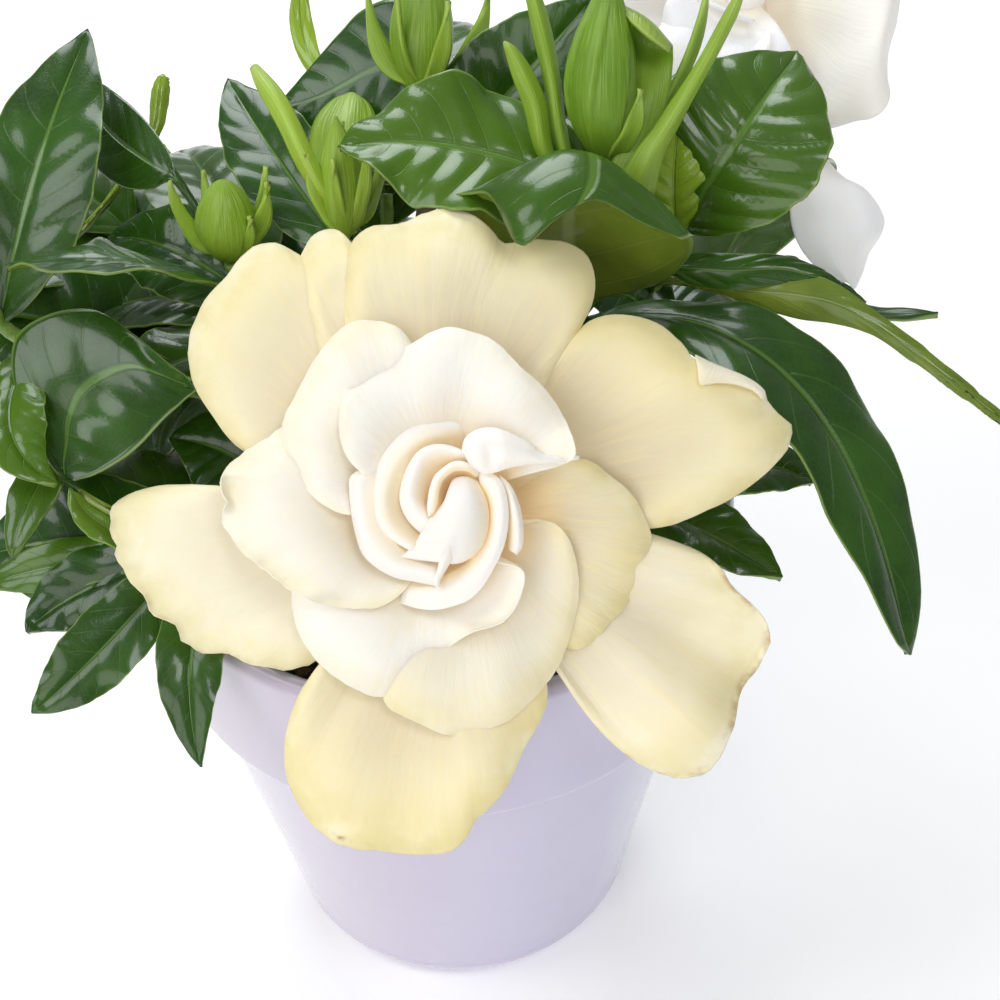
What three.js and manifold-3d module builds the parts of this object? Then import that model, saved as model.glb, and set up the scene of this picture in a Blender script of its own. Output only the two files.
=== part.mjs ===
// A potted gardenia: glazed pot, soil, woody limbs, leafy shoots, double blooms and green buds.
// Millimetres, +Z up. The origin is the centre of the pot's base and the main bloom looks to -Y.
import * as THREE from "three";
import { mergeVertices } from "three/addons/utils/BufferGeometryUtils.js";
import Module from "manifold-3d";

const wasm = await Module();
wasm.setup();

// Driving dimensions
const GAP = 0.35; // clear space between neighbouring pieces
const SLIVER = 0.05; // edges shorter than this are closed up where pieces are joined
const FULL_TURN = 2 * Math.PI;
const POT = {
  height: 103,
  rimRadius: 53,
  rimRounding: 1.6,
  bandHeight: 30.5,
  bandFootRadius: 51.3,
  stepHeight: 2.4,
  shoulderRadius: 47.7,
  footRadius: 34.6,
  footRounding: 5.6,
  wall: 4,
  floor: 5,
  segments: 40,
};
const SOIL = { level: 92, mound: 2.2, bumps: 1.1, rings: 4, sectors: 24, holeRadius: 5 };
const TRUNK = { foot: [0, 4, 79], fork: [0, 4, 103], radius: 4.2, forkRadius: 3.4 };
const LIMB = { startRadius: 2.4, endRadius: 1.7 };
const SHOOT = { startRadius: 1.6, endRadius: 1.3 };
const LEAF = {
  thickness: 0.8,
  petioleHalfWidth: 0.9,
  tipHalfWidth: 0.5,
  skew: 0.85,
  fullness: 0.85,
  keel: 0.3,
  droop: 0.22,
  wave: 0.6,
  waves: 2.2,
  broad: 25,
};
const BUD = {
  ribs: 6,
  ribDepth: 0.12,
  twist: 0.45,
  rows: 5,
  footRadius: 0.9,
  tipRadius: 0.5,
  sepals: 6,
  sepalHalfWidth: 1.5,
  sepalHalfDepth: 0.55,
  sepalTip: 0.35,
};
const PETAL = { thickness: 0.9, startDistance: 6, viewDistance: 345 };
const CORE = { radius: 14, rim: 2.4, top: -7.2, seat: -8.8, tubeBack: -27, tubeRadius: 2, sides: 12 };
const HEART = { throat: 0.55, flare: 1.5, arch: 0.35, rows: 2, sectors: 5 };
const CALYX = {
  back: -37,
  radius: 3.2,
  stalkRadius: 1.4,
  sepals: 5,
  sepalHalfWidth: 1.2,
  sepalHalfDepth: 0.5,
};
const BLOOM = { centre: [1.6, -39, 134.6], tilt: 46.5, roll: -2.5 };
const SECOND_BLOOM = { centre: [61, 74, 158], lean: [0.2, -0.1, 0.975] };

const COLOURS = {
  glaze: { color: 0xcfc6e0, roughness: 0.18 },
  soil: { color: 0x2f241c, roughness: 0.95 },
  bark: { color: 0x6b5a3e, roughness: 0.85 },
  leaf: { color: 0x2c5a1e, roughness: 0.3 },
  bud: { color: 0x7fae2c, roughness: 0.45 },
  cream: { color: 0xf4e9bd, roughness: 0.6 },
  white: { color: 0xf4f1e8, roughness: 0.6 },
};

// Small helpers
const vec = (p) => new THREE.Vector3(p[0], p[1], p[2]);
const lerp = THREE.MathUtils.lerp;
const rad = THREE.MathUtils.degToRad;

function solidOf(geometry) {
  const bare = geometry.clone();
  bare.deleteAttribute("normal");
  bare.deleteAttribute("uv");
  const merged = mergeVertices(bare, 1e-4);
  const index = merged.index.array;
  const kept = [];
  for (let i = 0; i < index.length; i += 3) {
    const [a, b, c] = [index[i], index[i + 1], index[i + 2]];
    if (a !== b && b !== c && c !== a) kept.push(a, b, c);
  }
  const mesh = new wasm.Mesh({
    numProp: 3,
    vertProperties: new Float32Array(merged.attributes.position.array),
    triVerts: new Uint32Array(kept),
  });
  return new wasm.Manifold(mesh);
}

function geometryOf(solid) {
  const mesh = solid.getMesh();
  const geometry = new THREE.BufferGeometry();
  geometry.setAttribute("position", new THREE.BufferAttribute(mesh.vertProperties, 3));
  geometry.setIndex(new THREE.BufferAttribute(mesh.triVerts, 1));
  return geometry;
}

function largestBody(solid) {
  const bodies = solid.decompose();
  return bodies.reduce((best, body) => (body.volume() > best.volume() ? body : best));
}

// Joins the pieces into one body. Hollows that the joining seals are filled and scraps dropped,
// the second time round also those that hung on by a single edge.
function fuse(geometries) {
  const whole = wasm.Manifold.union(geometries.map(solidOf)).simplify(SLIVER);
  const body = geometryOf(largestBody(whole));
  return geometryOf(largestBody(solidOf(body)));
}

function closedGeometry(points, faces) {
  const geometry = new THREE.BufferGeometry().setFromPoints(points);
  geometry.setIndex(faces);
  return geometry;
}

// A closed skin over rings of equal count, capped at both ends. The rings run clockwise,
// as seen from the end that they lead to.
function loft(rings) {
  const count = rings[0].length;
  const points = rings.flat();
  const faces = [];
  for (let i = 0; i + 1 < rings.length; i++) {
    for (let j = 0; j < count; j++) {
      const next = (j + 1) % count;
      const [a, b, c, d] = [i * count + j, (i + 1) * count + j, (i + 1) * count + next, i * count + next];
      faces.push(a, b, c, a, c, d);
    }
  }
  const addCap = (ring, start, outward) => {
    const middle = ring.reduce((sum, p) => sum.add(p), new THREE.Vector3()).divideScalar(count);
    const centre = points.push(middle) - 1;
    for (let j = 0; j < count; j++) {
      const [p, q] = [start + j, start + ((j + 1) % count)];
      if (outward) faces.push(centre, q, p);
      else faces.push(centre, p, q);
    }
  };
  addCap(rings[0], 0, false);
  addCap(rings[rings.length - 1], (rings.length - 1) * count, true);
  return closedGeometry(points, faces);
}

// A closed sheet of even thickness round the surface point(along, across), both from 0 to 1
function sheet(surface, stepsAlong, stepsAcross, thickness) {
  const columns = stepsAcross + 1;
  const at = (i, j) => surface(i / stepsAlong, j / stepsAcross);
  const upper = [];
  const lower = [];
  for (let i = 0; i <= stepsAlong; i++) {
    for (let j = 0; j <= stepsAcross; j++) {
      const along = at(Math.min(i + 1, stepsAlong), j).sub(at(Math.max(i - 1, 0), j));
      const across = at(i, Math.min(j + 1, stepsAcross)).sub(at(i, Math.max(j - 1, 0)));
      const offset = along.cross(across).normalize().multiplyScalar(thickness / 2);
      upper.push(at(i, j).add(offset));
      lower.push(at(i, j).sub(offset));
    }
  }
  const faces = [];
  const shift = upper.length;
  for (let i = 0; i < stepsAlong; i++) {
    for (let j = 0; j < stepsAcross; j++) {
      const [a, b] = [i * columns + j, (i + 1) * columns + j];
      faces.push(a, b, b + 1, a, b + 1, a + 1);
      faces.push(shift + a, shift + b + 1, shift + b, shift + a, shift + a + 1, shift + b + 1);
    }
  }
  const wall = (p, q) => faces.push(p, shift + p, shift + q, p, shift + q, q);
  for (let i = 0; i < stepsAlong; i++) {
    wall(i * columns, (i + 1) * columns);
    wall((i + 1) * columns + stepsAcross, i * columns + stepsAcross);
  }
  for (let j = 0; j < stepsAcross; j++) {
    wall(j + 1, j);
    wall(stepsAlong * columns + j, stepsAlong * columns + j + 1);
  }
  return closedGeometry([...upper, ...lower], faces);
}

// A tapered rod along a curve; its section is an ellipse whose flat side looks along face
function rod(curve, steps, sides, halfWidth, halfDepth, face) {
  const rings = [];
  for (let i = 0; i <= steps; i++) {
    const u = i / steps;
    const side = curve.getTangent(u).cross(face).normalize();
    const front = side.clone().cross(curve.getTangent(u));
    const ring = [];
    for (let j = 0; j < sides; j++) {
      const turn = (FULL_TURN * (j + 0.5)) / sides;
      const offset = side.clone().multiplyScalar(Math.cos(turn) * halfWidth(u));
      offset.addScaledVector(front, Math.sin(turn) * halfDepth(u));
      ring.push(offset.add(curve.getPoint(u)));
    }
    rings.push(ring);
  }
  return loft(rings);
}

function route(points) {
  return new THREE.CatmullRomCurve3(points.map(vec), false, "centripetal");
}

// The places further along the line of a route, where the next piece starts and where it heads
function beyond(points) {
  const curve = route(points);
  const place = (distance) => curve.getPoint(1).addScaledVector(curve.getTangent(1), distance);
  return [place(GAP), place(GAP + 2)];
}

function stem(points, startRadius, endRadius, steps = 4, sides = 5) {
  const radius = (u) => lerp(startRadius, endRadius, u);
  return rod(route(points), steps, sides, radius, radius, new THREE.Vector3(0.31, 0.95, 0.05));
}

// Curve from root to tip that passes through via half way
function arc(root, via, tip) {
  const bend = via.clone().multiplyScalar(2).addScaledVector(root, -0.5).addScaledVector(tip, -0.5);
  return new THREE.QuadraticBezierCurve3(root, bend, tip);
}

// Pot: rounded foot, straight taper, soft step and a deep rim band; open above, flat below
function potProfile() {
  const { height, rimRadius, rimRounding, footRadius, footRounding, wall, floor } = POT;
  const bandFoot = height - POT.bandHeight;
  const points = [[0, 0]];
  for (let i = 0; i <= 3; i++) {
    const turn = (Math.PI / 2) * (i / 3);
    const radius = footRadius - footRounding + footRounding * Math.sin(turn);
    points.push([radius, footRounding - footRounding * Math.cos(turn)]);
  }
  points.push([POT.shoulderRadius, bandFoot - POT.stepHeight]);
  points.push([POT.bandFootRadius, bandFoot]);
  points.push([rimRadius, height - rimRounding]);
  points.push([rimRadius - rimRounding, height]);
  points.push([rimRadius - wall + rimRounding / 2, height]);
  points.push([rimRadius - wall, height - rimRounding]);
  points.push([POT.shoulderRadius - wall, bandFoot - 2 * POT.stepHeight]);
  points.push([footRadius - wall, floor]);
  points.push([0, floor]);
  return points.map(([r, z]) => new THREE.Vector2(r, z));
}

function latheZ(profile, segments) {
  return new THREE.LatheGeometry(profile, segments).rotateX(Math.PI / 2);
}

function potGeometry() {
  return geometryOf(solidOf(latheZ(potProfile(), POT.segments)));
}

// Radius of the pot's inside at a height above its floor
function innerRadius(z) {
  const shoulder = POT.height - POT.bandHeight - 2 * POT.stepHeight;
  if (z < shoulder) {
    const share = (z - POT.floor) / (shoulder - POT.floor);
    return lerp(POT.footRadius, POT.shoulderRadius, share) - POT.wall;
  }
  const share = (z - shoulder) / (POT.height - POT.rimRounding - shoulder);
  return lerp(POT.shoulderRadius, POT.rimRadius, share) - POT.wall;
}

function soilHeight(radius, turn) {
  const edge = radius / innerRadius(SOIL.level);
  const bumps = Math.sin(3 * turn + 9 * edge) + Math.sin(7 * turn - 5 * edge);
  return SOIL.level + SOIL.mound * (1 - edge * edge) + (SOIL.bumps / 2) * bumps * edge;
}

// Soil fills the pot, with a rough mounded top and a plain hole for the trunk
function soilGeometry() {
  const ring = (radius, height) => {
    const points = [];
    for (let j = 0; j < SOIL.sectors; j++) {
      const turn = -(FULL_TURN * j) / SOIL.sectors;
      points.push(vec([radius * Math.cos(turn), radius * Math.sin(turn), height(turn)]));
    }
    return points;
  };
  const wallRadius = (z) => (innerRadius(z) - GAP) * Math.cos(Math.PI / SOIL.sectors);
  const floor = POT.floor + GAP;
  const shoulder = POT.height - POT.bandHeight - 2 * POT.stepHeight;
  const rings = [ring(wallRadius(floor), () => floor), ring(wallRadius(shoulder), () => shoulder)];
  const rim = wallRadius(SOIL.level - SOIL.bumps);
  for (let i = 0; i < SOIL.rings; i++) {
    const radius = rim * (1 - i / SOIL.rings);
    rings.push(ring(radius, (turn) => soilHeight(radius, turn)));
  }
  const body = loft(rings);
  const depth = SOIL.level - TRUNK.foot[2] + 20;
  const hole = new THREE.CylinderGeometry(SOIL.holeRadius, SOIL.holeRadius, depth, 12);
  hole.rotateX(Math.PI / 2);
  hole.translate(TRUNK.foot[0], TRUNK.foot[1], TRUNK.foot[2] - GAP + depth / 2);
  return geometryOf(solidOf(body).subtract(solidOf(hole)));
}

// Trunk and limbs. Each limb ends where a green shoot of the same name goes on.
const LIMBS = {
  bloom_front: [[0.5, -1, 104.5], [1, -6.5, 105.5]],
  shoot_left: [[-16, 6, 110], [-34, 9, 117]],
  shoot_left_front: [[-10, -5, 106], [-22, -14, 109.5]],
  shoot_left_back: [[-15, 14, 114], [-25, 20, 126]],
  shoot_cluster: [[-8, 8, 118], [-10.5, 13, 130]],
  shoot_centre: [[0, 22, 122], [0, 36, 138]],
  shoot_right: [[14, 6, 115], [24, 10, 128]],
  shoot_right_low: [[10, -3, 105], [21, -8, 107]],
  shoot_right_mid: [[20, 12, 113], [35, 17, 126]],
  shoot_right_back: [[8, 28, 108], [18, 46, 109]],
  shoot_back: [[-2, 26, 108], [-6, 42, 114]],
  shoot_back_left: [[-20, 22, 108], [-36, 36, 113]],
  shoot_back_right: [[18, 20, 106], [34, 30, 108.5]],
};

function woodGeometry() {
  const { foot, fork, radius, forkRadius } = TRUNK;
  const top = [fork[0], fork[1], fork[2] + 2];
  const pieces = [stem([foot, [foot[0], foot[1], 92], top], radius, forkRadius, 4, 8)];
  for (const points of Object.values(LIMBS)) {
    pieces.push(stem([fork, ...points], LIMB.startRadius, LIMB.endRadius, 3, 5));
  }
  return fuse(pieces);
}

// Leaf: a pointed oval blade that arches over, with a keel along its midrib and a waved edge
function leafHalfWidth(leaf, u) {
  const oval = Math.pow(Math.sin(Math.PI * Math.pow(u, leaf.skew ?? LEAF.skew)), LEAF.fullness);
  const stalk = lerp(LEAF.petioleHalfWidth, LEAF.tipHalfWidth, u);
  return Math.max(stalk, (leaf.width / 2) * oval);
}

function leafSurface(root, leaf) {
  const midrib = arc(root, vec(leaf.via), vec(leaf.tip));
  const face = vec(leaf.face ?? [0, 0, 1]);
  return (u, acrossShare) => {
    const v = 2 * acrossShare - 1;
    const side = midrib.getTangent(u).cross(face).normalize();
    const front = side.clone().cross(midrib.getTangent(u)).normalize();
    const half = leafHalfWidth(leaf, u);
    const keel = (leaf.keel ?? LEAF.keel) * Math.abs(v) - LEAF.droop * v * v;
    const ripple = Math.sin(FULL_TURN * LEAF.waves * u + (v > 0 ? 2 : 0)) * v * v;
    const rise = half * keel + (leaf.wave ?? LEAF.wave) * ripple * Math.min(1, half / 6);
    return midrib.getPoint(u).addScaledVector(side, -v * half).addScaledVector(front, rise);
  };
}

function leafGeometry(root, leaf) {
  const broad = leaf.width > LEAF.broad;
  return sheet(leafSurface(root, leaf), broad ? 6 : 5, broad ? 4 : 2, LEAF.thickness);
}

// Leafy shoots. A leaf grows from its place at, 0 to 1 along the stem, through via to its tip.
const SHOOTS = {
  shoot_left: {
    stem: [[-56, 13, 123], [-73, 14, 131], [-77, 15, 139]],
    leaves: [
      { at: 0.85, via: [-67, 32, 153], tip: [-59, 58, 164], width: 24, face: [-0.2, -0.6, 0.75] },
      { at: 0.75, via: [-58, -3, 131], tip: [-38, -12, 138], width: 27, face: [-0.1, -0.35, 0.9] },
      { at: 0.7, via: [-74, -8, 130], tip: [-77, -25, 121], width: 17 },
      { at: 0.95, via: [-95, 8, 142], tip: [-113, 2, 134], width: 24 },
      { at: 0.85, via: [-92, 30, 141], tip: [-107, 46, 133], width: 22 },
      { at: 0.5, via: [-62, -2, 117], tip: [-70, -18, 108], width: 17 },
      { at: 1, via: [-80, 12, 146], tip: [-84, 4, 154], width: 8, face: [0, -1, 0] },
    ],
  },
  shoot_left_front: {
    stem: [[-34, -20, 111], [-44, -24, 113]],
    leaves: [
      { at: 0.95, via: [-57, -38, 104], tip: [-68, -45, 98], width: 17, face: [0.2, -0.5, 0.8] },
      { at: 0.75, via: [-42, -42, 106], tip: [-40, -55, 92], width: 15, face: [0, -0.6, 0.6] },
      { at: 1, via: [-52, -20, 117], tip: [-58, -26, 113], width: 9 },
      { at: 0.6, via: [-52, -6, 111], tip: [-70, -4, 103], width: 18 },
      { at: 0.35, via: [-26, -28, 109], tip: [-27, -42, 106], width: 13 },
    ],
  },
  shoot_left_back: {
    stem: [[-32, 18.5, 133.5], [-34, 19, 140.5]],
    leaves: [
      { at: 0.72, via: [-52, 10.5, 148], tip: [-71, 13, 146], width: 21, face: [0, 0.4, 0.95] },
      { at: 0.8, via: [-51, 40, 149], tip: [-58, 58, 150], width: 24, face: [-0.1, -0.4, 0.8] },
      { at: 0.5, via: [-50, 26, 128], tip: [-66, 30, 118], width: 20 },
      { at: 0.6, via: [-40, 48, 137], tip: [-48, 68, 130], width: 24 },
      { at: 0.3, via: [-44, 6, 129], tip: [-60, 1, 126], width: 19 },
      { at: 0.9, via: [-44, 40, 149], tip: [-46, 57, 156], width: 6 },
    ],
  },
  shoot_cluster: {
    stem: [[-12, 15, 138], [-13.6, 17.5, 145]],
    leaves: [
      { at: 0.9, via: [-26, 37, 150], tip: [-35, 57, 153], width: 17, face: [0, -0.4, 0.8] },
      { at: 0.5, via: [-20, 2, 141], tip: [-26, -8, 138], width: 14 },
    ],
  },
  shoot_centre: {
    stem: [[0, 42, 147], [0, 45.6, 154.5]],
    leaves: [
      { at: 0.8, via: [-12, 58, 154], tip: [-27, 72, 155], width: 22, face: [0, -0.4, 0.8] },
      { at: 0.7, via: [2, 66, 152], tip: [0, 87, 145], width: 22 },
      { at: 0.5, via: [17, 44, 158], tip: [31, 49, 172], width: 22, face: [0, -0.7, 0.6] },
      { at: 0.4, via: [-16, 60, 140], tip: [-32, 78, 132], width: 22 },
      { at: 0.85, via: [-13, 57, 157], tip: [-17.4, 71, 165], width: 6, face: [0, -1, 0.3] },
    ],
  },
  shoot_right: {
    stem: [[28, 12, 145], [30.8, 15, 160]],
    leaves: [
      { at: 0.93, via: [6, 16.5, 164], tip: [-12, 14.5, 163], width: 28, wave: 1.8, face: [0, -0.3, 0.95] },
      { at: 0.3, via: [27, 0, 171], tip: [16.4, -7, 161.5], width: 38, skew: 0.62, keel: 0.1 },
      { at: 0.35, via: [59, -11, 135], tip: [77.5, -43, 100.5], width: 23, face: [0.35, -0.1, 0.9] },
    ],
  },
  shoot_right_low: {
    stem: [[28, -11, 109], [34, -14, 111]],
    leaves: [
      { at: 1, via: [46, -25, 112.5], tip: [57, -34, 110.5], width: 14 },
      { at: 0.8, via: [52, -10, 114], tip: [65, -12, 111], width: 17 },
      { at: 0.6, via: [44, 2, 110], tip: [62, 8, 104.5], width: 18 },
      { at: 0.4, via: [30, -24, 109], tip: [36, -40, 106], width: 14 },
    ],
  },
  shoot_right_mid: {
    stem: [[41, 19, 134], [45, 22, 142]],
    leaves: [
      { at: 1, via: [54, 22, 160], tip: [66, 42, 163], width: 31, face: [-0.1, -0.6, 0.8], skew: 1 },
      { at: 0.6, via: [71, 4, 139], tip: [98, -10, 121], width: 20, face: [0.2, 0.5, 0.9] },
      { at: 0.95, via: [42, 20, 153], tip: [45, 29, 161], width: 9, face: [0, -1, 0.4] },
    ],
  },
  shoot_right_back: {
    stem: [[32, 62, 110], [47, 75.5, 112]],
    leaves: [
      { at: 0.75, via: [38, 90, 118], tip: [42, 111, 110], width: 24 },
      { at: 0.35, via: [18, 66, 122], tip: [14, 82, 124], width: 22 },
    ],
  },
  shoot_back: {
    stem: [[-8, 50, 120], [-8, 55, 128]],
    leaves: [
      { at: 1, via: [-12, 76, 132], tip: [-14, 97, 122], width: 26 },
      { at: 0.8, via: [5, 78, 130], tip: [8, 98, 119], width: 22 },
      { at: 0.6, via: [-26, 70, 122], tip: [-38, 84, 112], width: 22 },
      { at: 0.3, via: [-2, 62, 112], tip: [0, 78, 104.5], width: 20 },
    ],
  },
  shoot_back_left: {
    stem: [[-48, 44, 120], [-56, 48, 127]],
    leaves: [
      { at: 1, via: [-74, 60, 134], tip: [-90, 70, 127], width: 25 },
      { at: 0.85, via: [-62, 68, 128], tip: [-64, 88, 118], width: 24 },
      { at: 0.8, via: [-78, 42, 126], tip: [-98, 38, 116], width: 24 },
      { at: 0.4, via: [-58, 34, 113], tip: [-76, 26, 106], width: 20 },
    ],
  },
  shoot_back_right: {
    stem: [[48, 38, 110], [58, 44, 113]],
    leaves: [
      { at: 1, via: [80, 58, 122], tip: [97, 68, 114], width: 24 },
      { at: 0.8, via: [67, 66, 117], tip: [82, 86, 109], width: 23 },
      { at: 0.8, via: [76, 40, 115], tip: [95, 33, 109], width: 20 },
      { at: 0.5, via: [62, 28, 110], tip: [78, 20, 104.5], width: 19 },
    ],
  },
};

const limbRoute = (name) => [TRUNK.fork, ...LIMBS[name]];

function shootRoute(name) {
  return [...beyond(limbRoute(name)).map((p) => p.toArray()), ...SHOOTS[name].stem];
}

function shootGeometry(name) {
  const points = shootRoute(name);
  const curve = route(points);
  const pieces = [stem(points, SHOOT.startRadius, SHOOT.endRadius)];
  for (const leaf of SHOOTS[name].leaves) {
    pieces.push(leafGeometry(curve.getPoint(0.97 * leaf.at), leaf));
  }
  return fuse(pieces);
}

// Green buds, each on the tip of a shoot: a twisted ribbed spindle inside long narrow sepals.
// sepal is their length, spread how far out they reach for it, and turn where the first stands.
const BUDS = {
  bud_right: { on: "shoot_right", tip: [31, 30, 192], radius: 6.2, sepal: 27, spread: 0.42, turn: 0.3 },
  bud_centre: { on: "shoot_centre", tip: [2, 60, 178], radius: 5.4, sepal: 21, spread: 0.5, turn: 0.1 },
  bud_left: { on: "shoot_left_back", tip: [-36.6, 23, 157], radius: 4.3, sepal: 15, spread: 0.4, turn: 0.5 },
  bud_cluster: { on: "shoot_cluster", tip: [-14, 29, 163], radius: 3.9, sepal: 21, spread: 0.5, turn: 0.9 },
};

function budRing(u, shape, turnCount) {
  const belly = Math.pow(Math.sin(Math.PI * Math.pow(u, 0.75)), 0.8);
  const radius = Math.max(lerp(BUD.footRadius, BUD.tipRadius, u), shape.radius * belly);
  const points = [];
  for (let j = 0; j < turnCount; j++) {
    const turn = -(FULL_TURN * j) / turnCount;
    const ribbed = radius * (1 + BUD.ribDepth * Math.cos(BUD.ribs * (turn - BUD.twist * u)));
    points.push(vec([ribbed * Math.cos(turn), ribbed * Math.sin(turn), u * shape.length]));
  }
  return points;
}

// A sepal starts inside the bud's foot, bows outwards and ends in a long narrow tip
function sepalGeometry(turn, shape) {
  const height = shape.sepal;
  const reach = height * shape.spread;
  const place = (out, up) => vec([out * Math.cos(turn), out * Math.sin(turn), up]);
  const route = arc(place(0.6, 0.8), place(0.62 * reach, 0.48 * height), place(reach, height));
  const swell = (u) => Math.pow(Math.sin(Math.PI * lerp(0.15, 1, u)), 0.7);
  const width = (u) => Math.max(BUD.sepalTip, BUD.sepalHalfWidth * swell(u));
  const depth = (u) => lerp(BUD.sepalHalfDepth, BUD.sepalTip, u);
  return rod(route, 3, 4, width, depth, place(1, 0.4));
}

function budGeometry(bud) {
  const [foot] = beyond(shootRoute(bud.on));
  const axis = vec(bud.tip).sub(foot);
  const shape = { ...bud, length: axis.length() };
  const rings = [];
  for (let i = 0; i <= BUD.rows; i++) rings.push(budRing(i / BUD.rows, shape, 2 * BUD.ribs));
  const pieces = [loft(rings)];
  for (let k = 0; k < BUD.sepals; k++) {
    pieces.push(sepalGeometry(bud.turn + (FULL_TURN * k) / BUD.sepals, shape));
  }
  const turn = new THREE.Quaternion().setFromUnitVectors(new THREE.Vector3(0, 0, 1), axis.normalize());
  return fuse(pieces).applyQuaternion(turn).translate(foot.x, foot.y, foot.z);
}

// Petals of the main bloom, in its own frame: x right, y up, z out of the flower towards -Y.
// Each outline runs counterclockwise from one side of the root round the petal to the other,
// as it looks from viewDistance in front. tilt lifts the side where the outline ends.
const OUTER_PETALS = [
  { root: [-4.5, 3], level: -5, tilt: 0.5, outline: [[-8.5, 11], [-15.5, 22], [-22, 37], [-28, 40.5],
    [-32, 39], [-37.5, 33], [-39, 26], [-37, 17], [-32, 10], [-22, 5.5], [-11, 2.5]] },
  { root: [-5.5, 4.5], level: -4.2, tilt: 0.5, outline: [[-8.5, 15.5], [-14, 28], [-14, 39], [-16.5, 42.5],
    [-19, 43], [-21.5, 40.5], [-22, 36], [-20, 26.5], [-13.5, 14]] },
  { root: [0, 6.5], level: -2.6, tilt: 0.3, outline: [[9.5, 12.5], [16.5, 19.5], [24, 30.5], [23, 35],
    [20.5, 39.5], [16.5, 41.5], [9, 42], [6.5, 45], [2.5, 47], [-6.5, 44.5], [-14.5, 39.5], [-14.5, 26],
    [-9.5, 15.5]] },
  { root: [4.5, 3], level: -4.5, tilt: 0, outline: [[19, 0], [33, -3], [47, 2.5], [53, 7.5], [54.5, 12],
    [50.5, 17], [49, 20.5], [40.5, 23], [34.5, 28.5], [29, 29.5], [23.5, 28.5], [16.5, 19.5], [11, 11]] },
  { root: [4.5, -3], level: -5.5, tilt: 0, outline: [[9.5, -14], [19, -26.5], [25, -35], [31.5, -40.5],
    [37, -42], [42.5, -40.5], [48, -28], [51.5, -21], [48.5, -16], [33, -4.5], [15.5, -1.5]] },
  { root: [-1, -4.5], level: -4, tilt: 0, outline: [[-11, -17], [-20.5, -24], [-25.5, -39], [-24.5, -46],
    [-20, -51], [-15.5, -53.5], [1, -53.5], [4.5, -49.5], [13.5, -37.5], [16.5, -28], [6.5, -12.5]] },
  { root: [-4, -1.5], level: -5.5, tilt: 0, outline: [[-17, 1.5], [-34.5, 3], [-45.5, 3.5], [-51, 1.5],
    [-52, -2], [-51.5, -9.5], [-43, -19], [-37.5, -22.5], [-29.5, -24], [-20.5, -23.5], [-8, -8]] },
];
const MIDDLE_PETALS = [
  { root: [-3, 0], level: 0, tilt: 1.2, outline: [[-17, 11], [-24, 15.5], [-34.5, 7], [-35, 3], [-31.5, -3],
    [-22, -9], [-15, -14], [-8.5, -15], [-3, -9.5]] },
  { root: [-2.5, 3], level: 2.4, tilt: 1, outline: [[-1.5, 17], [-4, 25], [-8.5, 28.5], [-15, 28],
    [-22, 19.5], [-24.5, 14], [-24.5, 8], [-19, 0.5], [-14, -1.5], [-8, 0]] },
  { root: [0, 1.5], level: 4.5, tilt: 0, outline: [[12.5, 6.5], [21.5, 8], [19, 15], [9.5, 25], [6, 27.5],
    [0, 28], [-10, 22], [-15, 17], [-14, 11], [-11, 4.5]] },
  { root: [4.5, -1.5], level: -0.6, tilt: 0.8, outline: [[14, -15.5], [20.5, -22], [29.5, -14.5],
    [32.5, -8], [33, -2.5], [27, 5.5], [22, 7.5], [9.5, 4.5]] },
  { root: [-1.5, -3], level: 1, tilt: 1.2, outline: [[-12.5, -8], [-23.5, -8], [-23, -15.5], [-20.5, -22.5],
    [-10.5, -29.5], [-6, -28], [4.5, -19.5], [11, -16.5], [13.5, -10], [8, -8]] },
  { root: [3, -2.6], level: -0.2, tilt: 1.6, outline: [[-3, -17], [-9, -29.5], [0, -35], [5.5, -35],
    [16, -28], [21, -17], [21.5, -10], [18, 2.5], [12.5, 0]] },
];
const OUTER_SHAPE = { fall: 7, cup: 1.5, rows: 3, sectors: 8 };
const MIDDLE_SHAPE = { fall: 1, cup: 1, rows: 3, sectors: 7 };

// Petal surface: spread from its root to its outline, rising from the core and falling to its edge
function petalSurface(petal, shape) {
  const outline = route(petal.outline.map(([x, y]) => [x, y, 0]));
  const root = vec([...petal.root, 0]);
  const reach = Math.max(...petal.outline.map(([x, y]) => Math.hypot(x - root.x, y - root.y)));
  return (along, across) => {
    const ray = outline.getPointAt(across).sub(root);
    const distance = lerp(PETAL.startDistance, ray.length(), along);
    const share = (distance - PETAL.startDistance) / (reach - PETAL.startDistance);
    const swing = 2 * across - 1;
    const rise = (petal.level - CORE.seat) * Math.pow(1 - share, 3);
    const bend = along * along * (shape.cup * swing * swing + petal.tilt * swing);
    const z = petal.level - rise - (petal.fall ?? shape.fall) * share * share + bend;
    const point = ray.setLength(distance).add(root).multiplyScalar(1 - z / PETAL.viewDistance);
    return point.setZ(z);
  };
}

// Heart of the bloom: upright curved petals, each wound clockwise outwards round the next one in.
// turn is where the inner end starts, in degrees; the rim widens from inner to outer over sweep.
const HEART_PETALS = [
  { turn: 30, sweep: 142, inner: 8.8, outer: 16, rim: 3 },
  { turn: 268, sweep: 108, inner: 12.4, outer: 15, rim: 3.6 },
  { turn: 233, sweep: 163, inner: 7.8, outer: 13.8, rim: 4 },
  { turn: 200, sweep: 150, inner: 4.6, outer: 9.8, rim: 4.4 },
  { turn: 90, sweep: 200, inner: 2.2, outer: 7.4, rim: 4.8 },
  { turn: 310, sweep: 170, inner: 1.6, outer: 4.4, rim: 5.2 },
];

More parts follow.
